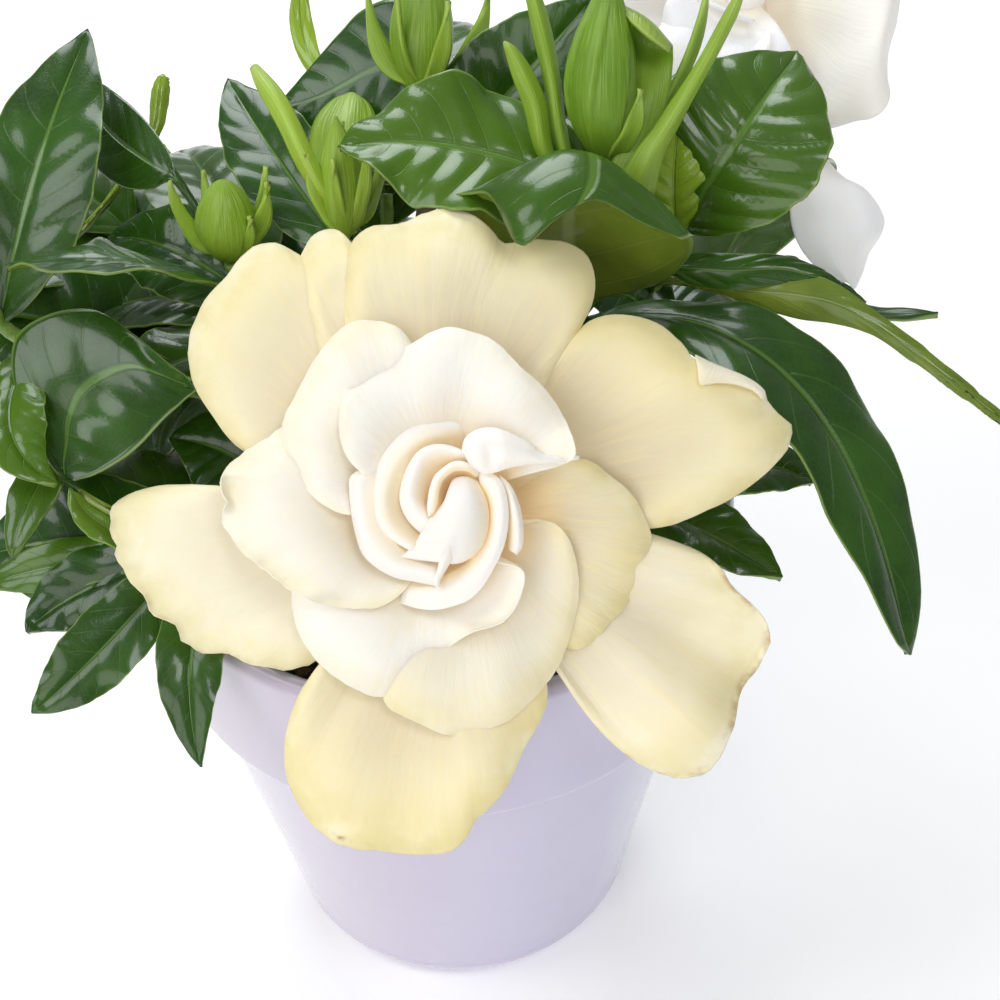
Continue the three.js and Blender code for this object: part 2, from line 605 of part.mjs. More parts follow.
function heartSurface(petal) {
  return (along, across) => {
    const turn = rad(petal.turn - petal.sweep * across);
    const rimRadius = lerp(petal.inner, petal.outer, across);
    const radius = rimRadius * lerp(HEART.throat, 1, Math.pow(along, HEART.flare));
    const arch = 1 - HEART.arch * Math.pow(2 * across - 1, 2);
    const z = lerp(CORE.seat, petal.rim * arch, along);
    return vec([radius * Math.cos(turn), radius * Math.sin(turn), z]);
  };
}

// Core: the narrow corolla tube, widening to the cup that all petals of a bloom grow from
function coreGeometry() {
  const { radius, rim, top, tubeBack, tubeRadius } = CORE;
  const tube = [[0, tubeBack], [tubeRadius, tubeBack], [1.2 * tubeRadius, top - 11]];
  const profile = [...tube, [radius / 2, top - 7], [radius, top - rim], [radius - 1, top], [0, top]];
  return latheZ(profile.map(([r, z]) => new THREE.Vector2(r, z)), CORE.sides);
}

function petalGeometry(petal, shape) {
  return sheet(petalSurface(petal, shape), shape.rows, shape.sectors, PETAL.thickness);
}

function heartGeometry(petal) {
  return sheet(heartSurface(petal), HEART.rows, HEART.sectors, PETAL.thickness);
}

function mainBloomGeometry() {
  const pieces = [coreGeometry()];
  pieces.push(...OUTER_PETALS.map((petal) => petalGeometry(petal, OUTER_SHAPE)));
  pieces.push(...MIDDLE_PETALS.map((petal) => petalGeometry(petal, MIDDLE_SHAPE)));
  pieces.push(...HEART_PETALS.map(heartGeometry));
  return fuse(pieces);
}

// Second bloom: two whorls of like petals round the same core and heart, the front one hanging low
const PETAL_OUTLINE = [[0.2, -0.16], [0.5, -0.32], [0.82, -0.3], [0.98, -0.12], [1, 0.08], [0.9, 0.28],
  [0.6, 0.34], [0.2, 0.16]];
const SECOND_WHORLS = [
  { count: 6, turn: -58, reach: 37, level: -4, fall: 13, tilt: 1, cup: 2, rows: 3, sectors: 5 },
  { count: 5, turn: -42, reach: 30, level: 1, fall: 2, tilt: 1.4, cup: 1.5, rows: 2, sectors: 5 },
];
const LOW_PETAL = { reach: 50, fall: 26 };

function whorlPetal(whorl, k) {
  const turn = rad(whorl.turn + (360 * k) / whorl.count);
  const low = whorl === SECOND_WHORLS[0] && k === 0;
  const reach = low ? LOW_PETAL.reach : whorl.reach;
  const place = ([x, y]) => {
    const [a, b] = [x * reach, y * Math.min(reach, whorl.reach)];
    return [a * Math.cos(turn) - b * Math.sin(turn), a * Math.sin(turn) + b * Math.cos(turn)];
  };
  const fall = low ? LOW_PETAL.fall : whorl.fall;
  return { ...whorl, fall, root: place([3 / reach, 0]), outline: PETAL_OUTLINE.map(place) };
}

function secondBloomGeometry() {
  const pieces = [coreGeometry()];
  for (const whorl of SECOND_WHORLS) {
    for (let k = 0; k < whorl.count; k++) pieces.push(petalGeometry(whorlPetal(whorl, k), whorl));
  }
  pieces.push(...HEART_PETALS.slice(1).map(heartGeometry));
  return fuse(pieces);
}

function calyxRing(z, size) {
  const points = [];
  for (let j = 0; j < 2 * CALYX.sepals; j++) {
    const turn = -(FULL_TURN * j) / (2 * CALYX.sepals);
    const ribbed = size * (j % 2 ? 0.88 : 1.06);
    points.push(vec([ribbed * Math.cos(turn), ribbed * Math.sin(turn), z]));
  }
  return points;
}

// Calyx: a ribbed green cup behind the corolla tube, with narrow sepals and a stalk from its stem
function calyxGeometry(bloom, stemRoute) {
  const [foot, lead] = beyond(stemRoute).map((p) => bloom.worldToLocal(p).toArray());
  const { back, radius, stalkRadius } = CALYX;
  const top = CORE.tubeBack - GAP;
  const cup = [[back, stalkRadius], [back + 3, 0.6 * radius], [top - 2, radius], [top, radius]];
  const pieces = [loft(cup.map(([z, size]) => calyxRing(z, size)))];
  for (let k = 0; k < CALYX.sepals; k++) {
    const turn = (FULL_TURN * k) / CALYX.sepals;
    const out = (radius, z) => vec([radius * Math.cos(turn), radius * Math.sin(turn), z]);
    const route = arc(out(radius - 0.1, top - 1.6), out(2 * radius, top + 5), out(3.4 * radius, top + 8));
    const width = (u) => lerp(CALYX.sepalHalfWidth, BUD.sepalTip, u * u);
    pieces.push(rod(route, 3, 4, width, () => CALYX.sepalHalfDepth, out(1, 0.4)));
  }
  pieces.push(stem([foot, lead, [0, 0, back + 2]], stalkRadius, stalkRadius));
  return fuse(pieces);
}

// Scene graph
const model = new THREE.Group();

function add(parent, name, geometry, look) {
  const mesh = new THREE.Mesh(geometry, new THREE.MeshStandardMaterial({ metalness: 0, ...look }));
  mesh.name = name;
  parent.add(mesh);
}

function bloomGroup() {
  const group = new THREE.Group();
  group.position.fromArray(BLOOM.centre);
  group.rotation.set(rad(BLOOM.tilt), 0, 0);
  group.rotateZ(rad(BLOOM.roll));
  return group;
}

function secondBloomGroup() {
  const group = new THREE.Group();
  group.position.fromArray(SECOND_BLOOM.centre);
  group.quaternion.setFromUnitVectors(new THREE.Vector3(0, 0, 1), vec(SECOND_BLOOM.lean).normalize());
  return group;
}

add(model, "pot", potGeometry(), COLOURS.glaze);
add(model, "soil", soilGeometry(), COLOURS.soil);
add(model, "wood", woodGeometry(), COLOURS.bark);
for (const name of Object.keys(SHOOTS)) add(model, name, shootGeometry(name), COLOURS.leaf);
for (const [name, bud] of Object.entries(BUDS)) add(model, name, budGeometry(bud), COLOURS.bud);

const front = bloomGroup();
model.add(front);
front.updateMatrixWorld();
add(front, "bloom_front", mainBloomGeometry(), COLOURS.cream);
add(front, "calyx_front", calyxGeometry(front, limbRoute("bloom_front")), COLOURS.bud);

const back = secondBloomGroup();
model.add(back);
back.updateMatrixWorld();
add(back, "bloom_back", secondBloomGeometry(), COLOURS.white);
add(back, "calyx_back", calyxGeometry(back, shootRoute("shoot_right_back")), COLOURS.bud);

export default model;
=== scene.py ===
"""Potted gardenia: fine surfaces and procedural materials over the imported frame."""
import math

import bpy
import numpy as np
from mathutils import Matrix, Vector


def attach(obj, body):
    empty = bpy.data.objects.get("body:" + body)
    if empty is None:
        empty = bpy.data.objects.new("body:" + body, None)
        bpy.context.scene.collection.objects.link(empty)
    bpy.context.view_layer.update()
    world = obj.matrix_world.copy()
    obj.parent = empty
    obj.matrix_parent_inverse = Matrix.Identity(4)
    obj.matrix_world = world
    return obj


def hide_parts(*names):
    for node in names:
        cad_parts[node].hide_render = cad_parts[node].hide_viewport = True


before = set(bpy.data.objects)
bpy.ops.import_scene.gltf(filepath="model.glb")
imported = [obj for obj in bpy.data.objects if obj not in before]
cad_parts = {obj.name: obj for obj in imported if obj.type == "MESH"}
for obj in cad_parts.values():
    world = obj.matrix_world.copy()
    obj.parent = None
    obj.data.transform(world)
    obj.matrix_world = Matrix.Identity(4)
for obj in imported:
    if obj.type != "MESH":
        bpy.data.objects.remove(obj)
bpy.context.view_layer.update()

MM = 0.001
TURN = 2 * math.pi
# Random places, sizes and turns of the chips in the soil
rng = np.random.default_rng(11)

# The part's own sizes, in millimetres
POT = dict(height=103, rim=53, band=30.5, band_foot=51.3, step=2.4, shoulder=47.7, foot=34.6,
           rounding=5.6, wall=4, floor=5)
SOIL_LEVEL, SOIL_MOUND = 92, 2.2
TRUNK_FOOT, TRUNK_FORK = (0, 4, 79), (0, 4, 103)
GAP = 0.35
BLOOM = dict(centre=(1.6, -39, 134.6), tilt=46.5, roll=-2.5)
SECOND = dict(centre=(61, 74, 158), lean=(0.2, -0.1, 0.975))
VIEW_DISTANCE = 345
SEAT, CORE_TOP, TUBE_BACK = -8.8, -7.2, -27
CALYX_BACK = -37
THROAT = (4.5, 0)
# Distance from its root at which a petal's surface starts, widest strip of its margin that turns, and
# the degrees that it turns back
PETAL_START, STRIP, ROLL = 6.0, 8.0, -32
RIM_BEVEL, EDGE_ROUNDING = 1.6, 1.3
# Radius of a ring that stands for a point on the axis
AXIS = 0.01

# Side veins of a leaf: how many, and how far and how curved they lean towards its tip
SIDE_VEINS, VEIN_LEAN, VEIN_CURVE = 8.0, 0.17, 1.3
# Width from which a leaf gets the finer mesh, share of a stem on which leaves grow, most random paleness
WIDE, LEAFY, PALEST = 10, 0.97, 0.45
# Rows and columns of the meshes of sheets
WIDE_LEAF, NARROW_LEAF, SEPAL, DRAWN_SEPAL, FOLD = (56, 27), (26, 11), (26, 9), (40, 14), (14, 60)
PETAL, BACK_PETAL, DRAWN_PETAL, HEART_SHEET, SHELL = (50, 80), (40, 56), (44, 60), (40, 70), (26, 56)
# Rings and segments of the meshes that close round an axis
BUD, CALYX, SOIL, TRUNK, LIMB = (60, 72), (24, 60), (44, 150), (30, 18), (34, 12)
POT_SEGMENTS, CORE_SEGMENTS = 144, 48
# First seeds of the irregularities of petals and wood
OUTER_SEED, MIDDLE_SEED, WHORL_SEED = 100, 200, 300
TRUNK_SEED, LIMB_SEED = 1, 20

# The picture's camera looks at aim from a distance. Its frame is 1000 pixels wide.
CAMERA = dict(aim=(11, 0, 99), distance=398, elevation=43.5, roll=-2.5, focal=2206, middle=500)

# Points of each limb beyond the trunk's fork
LIMBS = {
    "bloom_front": [(0.5, -1, 104.5), (1, -6.5, 105.5)],
    "shoot_left": [(-16, 6, 110), (-34, 9, 117)],
    "shoot_left_front": [(-10, -5, 106), (-22, -14, 109.5)],
    "shoot_left_back": [(-15, 14, 114), (-25, 20, 126)],
    "shoot_cluster": [(-8, 8, 118), (-10.5, 13, 130)],
    "shoot_centre": [(0, 22, 122), (0, 36, 138)],
    "shoot_right": [(14, 6, 115), (24, 10, 128)],
    "shoot_right_low": [(10, -3, 105), (21, -8, 107)],
    "shoot_right_mid": [(20, 12, 113), (35, 17, 126)],
    "shoot_right_back": [(8, 28, 108), (18, 46, 109)],
    "shoot_back": [(-2, 26, 108), (-6, 42, 114)],
    "shoot_back_left": [(-20, 22, 108), (-36, 36, 113)],
    "shoot_back_right": [(18, 20, 106), (34, 30, 108.5)],
}


def leaf(at, via, tip, width, **more):
    return dict(at=at, via=via, tip=tip, width=width, **more)


def drawn(at, rows, width, **more):
    return dict(at=at, rows=rows, width=width, **more)


# Leaf that stands up with its olive underside to the front and folds its glossy top over:
# rows from its root over the crest to the front edge, as (x, y, depth) of the picture frame
HOODED = [
    [(575, 296, 379), (590, 298, 379), (605, 296, 379)],
    [(515, 284, 375), (555, 291, 376), (588, 289, 377), (625, 290, 376), (660, 283, 374)],
    [(465, 256, 370), (522, 266, 371), (590, 268, 373), (650, 272, 370), (686, 260, 367)],
    [(440, 224, 364), (505, 232, 365), (586, 236, 367), (652, 246, 364), (693, 246, 361)],
    [(444, 200, 360), (500, 200, 359), (580, 192, 361), (646, 215, 358), (692, 238, 357)],
    [(470, 194, 356), (510, 172, 355), (560, 152, 354), (600, 158, 354), (645, 190, 354), (692, 236, 355)],
    [(486, 194, 353), (512, 185, 350), (552, 172, 349), (596, 176, 350), (642, 204, 352), (689, 237, 353)],
    [(496, 204, 351), (516, 212, 347), (546, 200, 346), (594, 190, 348), (640, 213, 350), (686, 238, 352)],
    [(504, 220, 350), (522, 246, 346), (556, 219, 345), (594, 200, 347), (640, 222, 349), (682, 239, 351)]]

# Dark leaf behind the leftmost one, from its root outwards, its upper margin first
BENT = [
    [(179, 176, 386), (176, 179, 386), (173, 182, 386)],
    [(167, 150, 388), (160, 170, 387), (152, 189, 388)],
    [(149, 124, 391), (141, 153, 389.5), (126, 188, 390)],
    [(133, 107, 394), (121, 135, 392.5), (101, 173, 393)],
    [(117, 94, 397), (103, 117, 395.5), (86, 150, 396)],
    [(104, 85, 400), (92, 100, 399), (80, 120, 399)],
    [(93, 80, 402), (86, 88, 401.5), (79, 96, 401)]]

# Broad leaf at the left, folded along its midrib, from its root outwards, its lower margin first
BROAD = [
    [(74, 483, 372), (70, 482, 372), (66, 480, 372), (62, 478, 372)],
    [(92, 476, 371), (74, 447, 375), (48, 432, 376), (25, 414, 377)],
    [(110, 467, 370.5), (84, 430, 376), (45, 398, 377), (12, 370, 379)],
    [(130, 454, 370), (104, 415, 375), (60, 370, 377), (17, 336, 380)],
    [(146, 439, 369), (124, 405, 374), (88, 352, 377), (48, 315, 380)],
    [(162, 421, 368), (146, 397, 372), (120, 345, 376), (94, 310, 379)],
    [(177, 407, 367), (168, 392, 370), (152, 362, 374), (136, 336, 376)],
    [(189, 396, 366), (185, 389, 368), (178, 376, 370), (172, 366, 371)],
    [(200, 388, 365), (200, 387, 365), (198, 385, 365), (197, 383, 365)]]

# Leaf in the shade behind the bud cluster, from its root outwards, its upper margin first
SHADED = [
    [(420, 55, 397), (421, 85, 396), (421, 112, 397)],
    [(398, 0, 400), (402, 70, 397), (402, 130, 397)],
    [(363, 10, 402), (372, 80, 398), (380, 140, 398)],
    [(340, 33, 402), (346, 88, 399), (354, 142, 399)],
    [(318, 58, 402), (322, 95, 400), (330, 138, 400)],
    [(301, 78, 402), (300, 102, 401), (306, 130, 401)],
    [(286, 96, 403), (280, 108, 402), (284, 122, 402)]]

# Long leaf at the right that arches over, its olive underside to the front, its upper margin first
ARCHED = [
    [(664, 279, 386), (667, 280, 385.5), (670, 281, 386)],
    [(716, 283, 384), (718, 287, 383.5), (720, 291, 384)],
    [(746, 277, 381), (750, 291, 380), (754, 305, 381)],
    [(797, 272, 378), (797, 295, 376.8), (799, 319, 378)],
    [(835, 283, 376), (832, 304, 375), (830, 323, 376)],
    [(871, 308, 375), (870, 322, 374.4), (868, 333, 375)],
    [(920, 345, 375), (915, 354, 374.6), (908, 358, 375)],
    [(965, 382, 375), (960, 388, 374.8), (954, 391, 375)],
    [(1006, 418, 376), (1003, 421, 376), (1000, 423, 376)]]

# Dark narrow leaf over its root, its lower margin first
NARROW = [
    [(664, 272, 381), (664, 268, 381), (664, 264, 381)],
    [(690, 284, 379), (692, 268, 378), (694, 254, 379)],
    [(730, 290, 378), (734, 270, 376.5), (738, 254, 378)],
    [(775, 285, 378), (780, 268, 376.5), (785, 256, 378)],
    [(812, 287, 378), (815, 276, 377), (818, 268, 378)],
    [(838, 289, 379), (839, 286, 379), (840, 284, 379)]]

# Pale young leaf of which only the tip shows, its right margin first
PALE = [
    [(112, 200, 408), (110, 199, 408), (108, 198, 408)],
    [(138, 164, 409), (134, 163, 408.6), (130, 161, 409)],
    [(160, 133, 410), (155, 131, 409.4), (150, 127, 410)],
    [(167, 107, 411), (159, 108, 410), (151, 107, 411)],
    [(169, 88, 411), (161, 89, 410), (153, 90, 411)],
    [(168, 79, 411), (163, 76, 411), (158, 78, 411)]]

# Stem points and leaves of each shoot: a leaf grows from its place at the stem through via to its tip,
# or through its drawn rows
SHOOTS = {
    "shoot_left": ([(-56, 13, 123), (-73, 14, 131), (-77, 15, 139)], [
        leaf(0.85, (-67, 32, 153), (-59, 58, 164), 24, face=(-0.2, -0.6, 0.75)),
        leaf(0.75, (-58.5, 7, 121), (-43, 7, 127), 22, tone=0),
        leaf(0.7, (-71, -7.7, 128.7), (-63, -17, 123), 12.5, tone=0.9),
        leaf(0.95, (-95, 8, 142), (-113, 2, 134), 24),
        leaf(0.85, (-92, 30, 141), (-107, 46, 133), 22),
        leaf(0.5, (-66.6, -12, 119.8), (-71, -24, 113), 9, tone=0.6),
        leaf(1, (-80, 12, 146), (-84, 4, 154), 8, face=(0, -1, 0), young=1),
        leaf(0.35, (-67, 27, 122), (-87, 31, 121), 27, face=(0, -0.5, 0.85), tone=0),
        leaf(0.2, (-52, 20, 108), (-66, 13, 101), 24, face=(0, -0.5, 0.85), tone=0),
        drawn(0.9, PALE, 5, young=1)]),
    "shoot_left_front": ([(-34, -20, 111), (-44, -24, 113)], [
        leaf(0.95, (-57, -38, 104), (-68, -45, 98), 12.5, face=(0.2, -0.5, 0.8), tone=0.1, quilt=0.5),
        leaf(0.75, (-41, -41, 106), (-40, -54, 93), 11.5, face=(0, -0.6, 0.6), tone=0.1, quilt=0.5),
        leaf(1, (-55.6, -20.8, 116.3), (-61, -16.8, 122), 7, tone=0.9, young=0.15),
        leaf(0.6, (-52, -6, 111), (-70, -4, 103), 18),
        leaf(0.35, (-26, -28, 109), (-27, -42, 106), 13),
        leaf(0.1, (-34, -5, 116), (-46, -1, 118), 20, face=(0, -0.5, 0.85), tone=0),
        drawn(0.95, BROAD, 27, tone=0.1),
        leaf(0.9, (-63.5, -15, 108), (-80.6, -12.5, 102), 24, face=(0, -0.5, 0.85), tone=0),
        leaf(0.9, (-60, -25, 106), (-70, -30.5, 101.7), 13.5, face=(0, -0.5, 0.85), tone=0),
        leaf(0.95, (-65, -20, 107), (-78.6, -21.5, 104), 9, face=(0, -0.5, 0.85), tone=0.8)]),
    "shoot_left_back": ([(-32, 18.5, 133.5), (-34, 19, 140.5)], [
        leaf(0.72, (-52, 10.5, 148), (-71, 13, 146), 21, face=(0, 0.4, 0.95)),
        drawn(0.8, BENT, 24, tone=0.1),
        leaf(0.5, (-50, 26, 128), (-66, 30, 118), 20),
        leaf(0.6, (-40, 48, 137), (-48, 68, 130), 24),
        leaf(0.3, (-44, 6, 129), (-60, 1, 126), 19),
        leaf(0.6, (-45, 28, 137), (-57, 34, 136), 18, face=(0, -0.5, 0.85), tone=0)]),
    "shoot_cluster": ([(-12, 15, 138), (-13.6, 17.5, 145)], [
        leaf(0.9, (-26, 37, 150), (-35, 57, 153), 17, face=(0, -0.4, 0.8)),
        leaf(0.5, (-20, 2, 141), (-26, -8, 138), 14, young=0.6),
        leaf(0.2, (-22, 30, 132), (-33, 33, 126), 20, face=(0, -0.5, 0.85), tone=0)]),
    "shoot_centre": ([(0, 42, 147), (0, 45.6, 154.5)], [
        drawn(0.8, SHADED, 22, tone=0),
        leaf(0.7, (2, 66, 152), (0, 87, 145), 22),
        leaf(0.5, (17, 44, 158), (31, 49, 172), 22, face=(0, -0.7, 0.6)),
        leaf(0.4, (-16, 60, 140), (-32, 78, 132), 22),
        leaf(0.85, (-18.5, 62.3, 150), (-21.5, 77.6, 163.3), 4.4, face=(0, -1, 0.3), young=1, skew=2.2)]),
    "shoot_right": ([(28, 12, 145), (30.8, 15, 160)], [
        leaf(0.93, (6, 16.5, 164), (-13, 16.5, 165), 28, wave=2.2, face=(0, -0.3, 0.95), quilt=1.8,
             tone=0.75),
        drawn(0.3, HOODED, 38, tone=0.35),
        leaf(0.35, (59, -11, 135), (77.5, -43, 100.5), 22, face=(0.35, -0.1, 0.9), skew=1.2, blunt=0.6,
             quilt=0.6, tone=0.05)]),
    "shoot_right_low": ([(28, -11, 109), (34, -14, 111)], [
        leaf(1, (46, -25, 112.5), (57, -34, 110.5), 14),
        leaf(0.8, (52, -10, 114), (65, -12, 111), 17),
        leaf(0.6, (44, 2, 110), (62, 8, 104.5), 18),
        leaf(0.4, (30, -24, 109), (36, -40, 106), 14)]),
    "shoot_right_mid": ([(41, 19, 134), (45, 22, 142)], [
        leaf(1, (54, 22, 160), (66, 42, 163), 31, face=(-0.1, -0.6, 0.8), skew=1, quilt=2.4, tone=0.6),
        drawn(0.6, ARCHED, 20, tone=0.8),
        leaf(0.95, (43, 21, 154.5), (45.5, 31, 165.5), 11, face=(0, -1, 0.4), young=1, quilt=3),
        leaf(0.2, (46, 14, 128), (61, 9, 124), 21, tone=0),
        drawn(0.5, NARROW, 20, tone=0.1),
        leaf(0.05, (35.3, 15, 132.3), (25, 15, 135.4), 16, face=(0, -0.5, 0.85), tone=0)]),
    "shoot_right_back": ([(32, 62, 110), (47, 75.5, 112)], [
        leaf(0.75, (38, 90, 118), (42, 111, 110), 24),
        leaf(0.35, (18, 66, 122), (14, 82, 124), 22)]),
    "shoot_back": ([(-8, 50, 120), (-8, 55, 128)], [
        leaf(1, (-12, 76, 132), (-14, 97, 122), 26),
        leaf(0.8, (5, 78, 130), (8, 98, 119), 22),
        leaf(0.6, (-26, 70, 122), (-38, 84, 112), 22),
        leaf(0.3, (-2, 62, 112), (0, 78, 104.5), 20)]),
    "shoot_back_left": ([(-48, 44, 120), (-56, 48, 127)], [
        leaf(1, (-74, 60, 134), (-90, 70, 127), 25),
        leaf(0.85, (-62, 68, 128), (-64, 88, 118), 24),
        leaf(0.8, (-78, 42, 126), (-98, 38, 116), 24),
        leaf(0.4, (-58, 34, 113), (-76, 26, 106), 20)]),
    "shoot_back_right": ([(48, 38, 110), (58, 44, 113)], [
        leaf(1, (70.4, 45, 109), (83, 44, 105), 16),
        leaf(0.8, (67, 66, 117), (82, 86, 109), 23),
        leaf(0.8, (78.6, 36, 109.6), (95, 34.6, 109.3), 5),
        leaf(0.5, (58, 29, 111), (67.7, 23.4, 106), 15)]),
}

# Buds: sepals are (direction in degrees, height, reach, half width)
BUDS = {
    "bud_right": dict(on="shoot_right", tip=(32.8, 28.7, 188.8), radius=5.9, shine=0.16, fold=0.13, bow=-1.1,
                      sepals=[(22, 30, 18, 1.4), (305, 13.5, 8.5, 1.5), (78, 25, 9, 2)]),
    "bud_centre": dict(on="shoot_centre", tip=(2, 60, 178), radius=5.6, shine=0.3, sepals=[
        (5, 20, 12, 1.7), (62, 21, 10, 1.5), (118, 21, 9, 1.5), (182, 19, 10, 1.7),
        (238, 20, 9, 1.4), (300, 17, 9, 1.5)]),
    "bud_left": dict(on="shoot_left_back", tip=(-33.8, 22.4, 155.6), radius=5.2, blunt=1, shine=0.4, sepals=[
        (178, 15, 9, 1.5), (128, 15, 6, 1.4), (350, 15, 8, 1.5), (25, 16, 8, 1.5),
        (318, 10, 6.4, 1.1)]),
    "bud_cluster": dict(on="shoot_cluster", tip=(-14, 29, 163), radius=3.9, shine=0.5, sepals=[
        (205, 15, 6, 1.1), (262, 14, 5, 1.1), (318, 17, 7, 1.2), (15, 17, 8, 1.3), (88, 20, 9, 1.3)]),
}


class Route:
    """Smooth curve through points, centripetal, the ends straight on."""

    def __init__(self, points):
        p = np.array(points, float)
        if p.shape[1] == 2:
            p = np.column_stack([p, np.zeros(len(p))])
        self.p = np.vstack([2 * p[0] - p[1], p, 2 * p[-1] - p[-2]])
        self.n = len(p)

    def at(self, t):
        t = np.atleast_1d(np.asarray(t, float)) * (self.n - 1)
        i = np.clip(np.floor(t).astype(int), 0, self.n - 2)
        w = (t - i)[:, None]
        p0, p1, p2, p3 = (self.p[i + k] for k in range(4))
        d0, d1, d2 = (np.sqrt(np.linalg.norm(b - a, axis=1))[:, None] + 1e-9
                      for a, b in ((p0, p1), (p1, p2), (p2, p3)))
        m1 = ((p1 - p0) / d0 - (p2 - p0) / (d0 + d1) + (p2 - p1) / d1) * d1
        m2 = ((p2 - p1) / d1 - (p3 - p1) / (d1 + d2) + (p3 - p2) / d2) * d1
        a = 2 * p1 - 2 * p2 + m1 + m2
        b = -3 * p1 + 3 * p2 - 2 * m1 - m2
        return a * w**3 + b * w**2 + m1 * w + p1

    def heading(self, t):
        step = 1e-3
        d = self.at(np.minimum(t + step, 1)) - self.at(np.maximum(t - step, 0))
        return d / np.linalg.norm(d, axis=1)[:, None]

    def spaced(self, shares):
        fine = self.at(np.linspace(0, 1, 24 * (self.n - 1) + 1))
        length = np.concatenate([[0], np.cumsum(np.linalg.norm(np.diff(fine, axis=0), axis=1))])
        want = np.asarray(shares, float) * length[-1]
        return np.column_stack([np.interp(want, length, fine[:, k]) for k in range(3)])


def beyond(points):
    """Start and heading point of the piece that goes on from the end of a route."""
    route = Route(points)
    end, way = route.at(1)[0], route.heading(np.array([1.0]))[0]
    return [tuple(end + way * GAP), tuple(end + way * (GAP + 2))]


def limb_route(name):
    return [TRUNK_FORK, *LIMBS[name]]


def shoot_route(name):
    return [*beyond(limb_route(name)), *SHOOTS[name][0]]


def unit(v):
    return v / (np.linalg.norm(v, axis=-1, keepdims=True) + 1e-12)


def ease(x, low=0.0, high=1.0):
    t = np.clip((x - low) / (high - low), 0, 1)
    return t * t * (3 - 2 * t)


def ripples(x, y, scale, seed):
    """Smooth random surface between about -1 and 1."""
    r = np.random.default_rng(seed)
    waves = 7
    total = np.zeros(np.broadcast(x, y).shape)
    for _ in range(waves):
        turn, size, phase = r.uniform(0, TURN), r.uniform(0.6, 1.7) / scale, r.uniform(0, TURN)
        total += np.sin(TURN * size * (x * math.cos(turn) + y * math.sin(turn)) + phase)
    return total / math.sqrt(2 * waves) / 1.2


def moved(points, matrix):
    m = np.array(matrix)
    return points @ m[:3, :3].T + m[:3, 3]


def camera_axes():
    """The camera's directions to the right, up and back, and its place."""
    elevation, roll = math.radians(CAMERA["elevation"]), math.radians(CAMERA["roll"])
    back = np.array([0, -math.cos(elevation), math.sin(elevation)])
    up0, right0 = np.array([0, math.sin(elevation), math.cos(elevation)]), np.array([1.0, 0, 0])
    right = math.cos(roll) * right0 + math.sin(roll) * up0
    up = -math.sin(roll) * right0 + math.cos(roll) * up0
    return right, up, back, np.array(CAMERA["aim"]) + back * CAMERA["distance"]


def seen(x, y, depth):
    """Points that stand at x, y of the picture frame, at a depth in front of the camera."""
    right, up, back, eye = camera_axes()
    x, y, depth = (np.asarray(t, float)[..., None] for t in (x, y, depth))
    across, rise = (x - CAMERA["middle"]) / CAMERA["focal"], (CAMERA["middle"] - y) / CAMERA["focal"]
    return eye + depth * (across * right + rise * up - back)


def seen_rows(rows):
    return [seen(*np.array(row, float).T) for row in rows]


def facing(across, up, z):
    """Points of the front bloom that cover the same spot of the picture at any height z."""
    share = 1 - z / VIEW_DISTANCE
    return np.stack([across * share, up * share, z], -1)


def grid_normal(grid):
    return unit(np.cross(np.gradient(grid, axis=0), np.gradient(grid, axis=1)))


def ring_faces(rings, segments):
    """Quads between closed rings of points."""
    index = np.arange(rings * segments).reshape(rings, segments)
    following = np.roll(index, -1, axis=1)
    return np.stack([index[:-1], following[:-1], following[1:], index[1:]], -1).reshape(-1, 4)


def capped(rings, share):
    """Points and quads of rings round Z, with a ring shrunk to a share of their size at either end."""
    shrink = np.array([share, share, 1.0])
    points = np.concatenate([rings[:1] * shrink, rings, rings[-1:] * shrink])
    return points.reshape(-1, 3), ring_faces(len(points), rings.shape[1])


def arch(root, via, tip, u, face):
    """Curve from root through via to tip at shares u, and the directions across it and in front of it."""
    bend = 2 * via - 0.5 * root - 0.5 * tip
    middle = (1 - u)**2 * root + 2 * u * (1 - u) * bend + u**2 * tip
    way = unit(2 * (1 - u) * (bend - root) + 2 * u * (tip - bend))
    side = unit(np.cross(way, face))
    return middle, side, unit(np.cross(side, way))


def rows_grid(rows, n, m):
    """Smooth grid of n by m points through rows of points."""
    lines = np.array([Route(row).spaced(np.linspace(0, 1, m)) for row in rows])
    return np.stack([Route(lines[:, j]).at(np.linspace(0, 1, n)) for j in range(m)], axis=1)


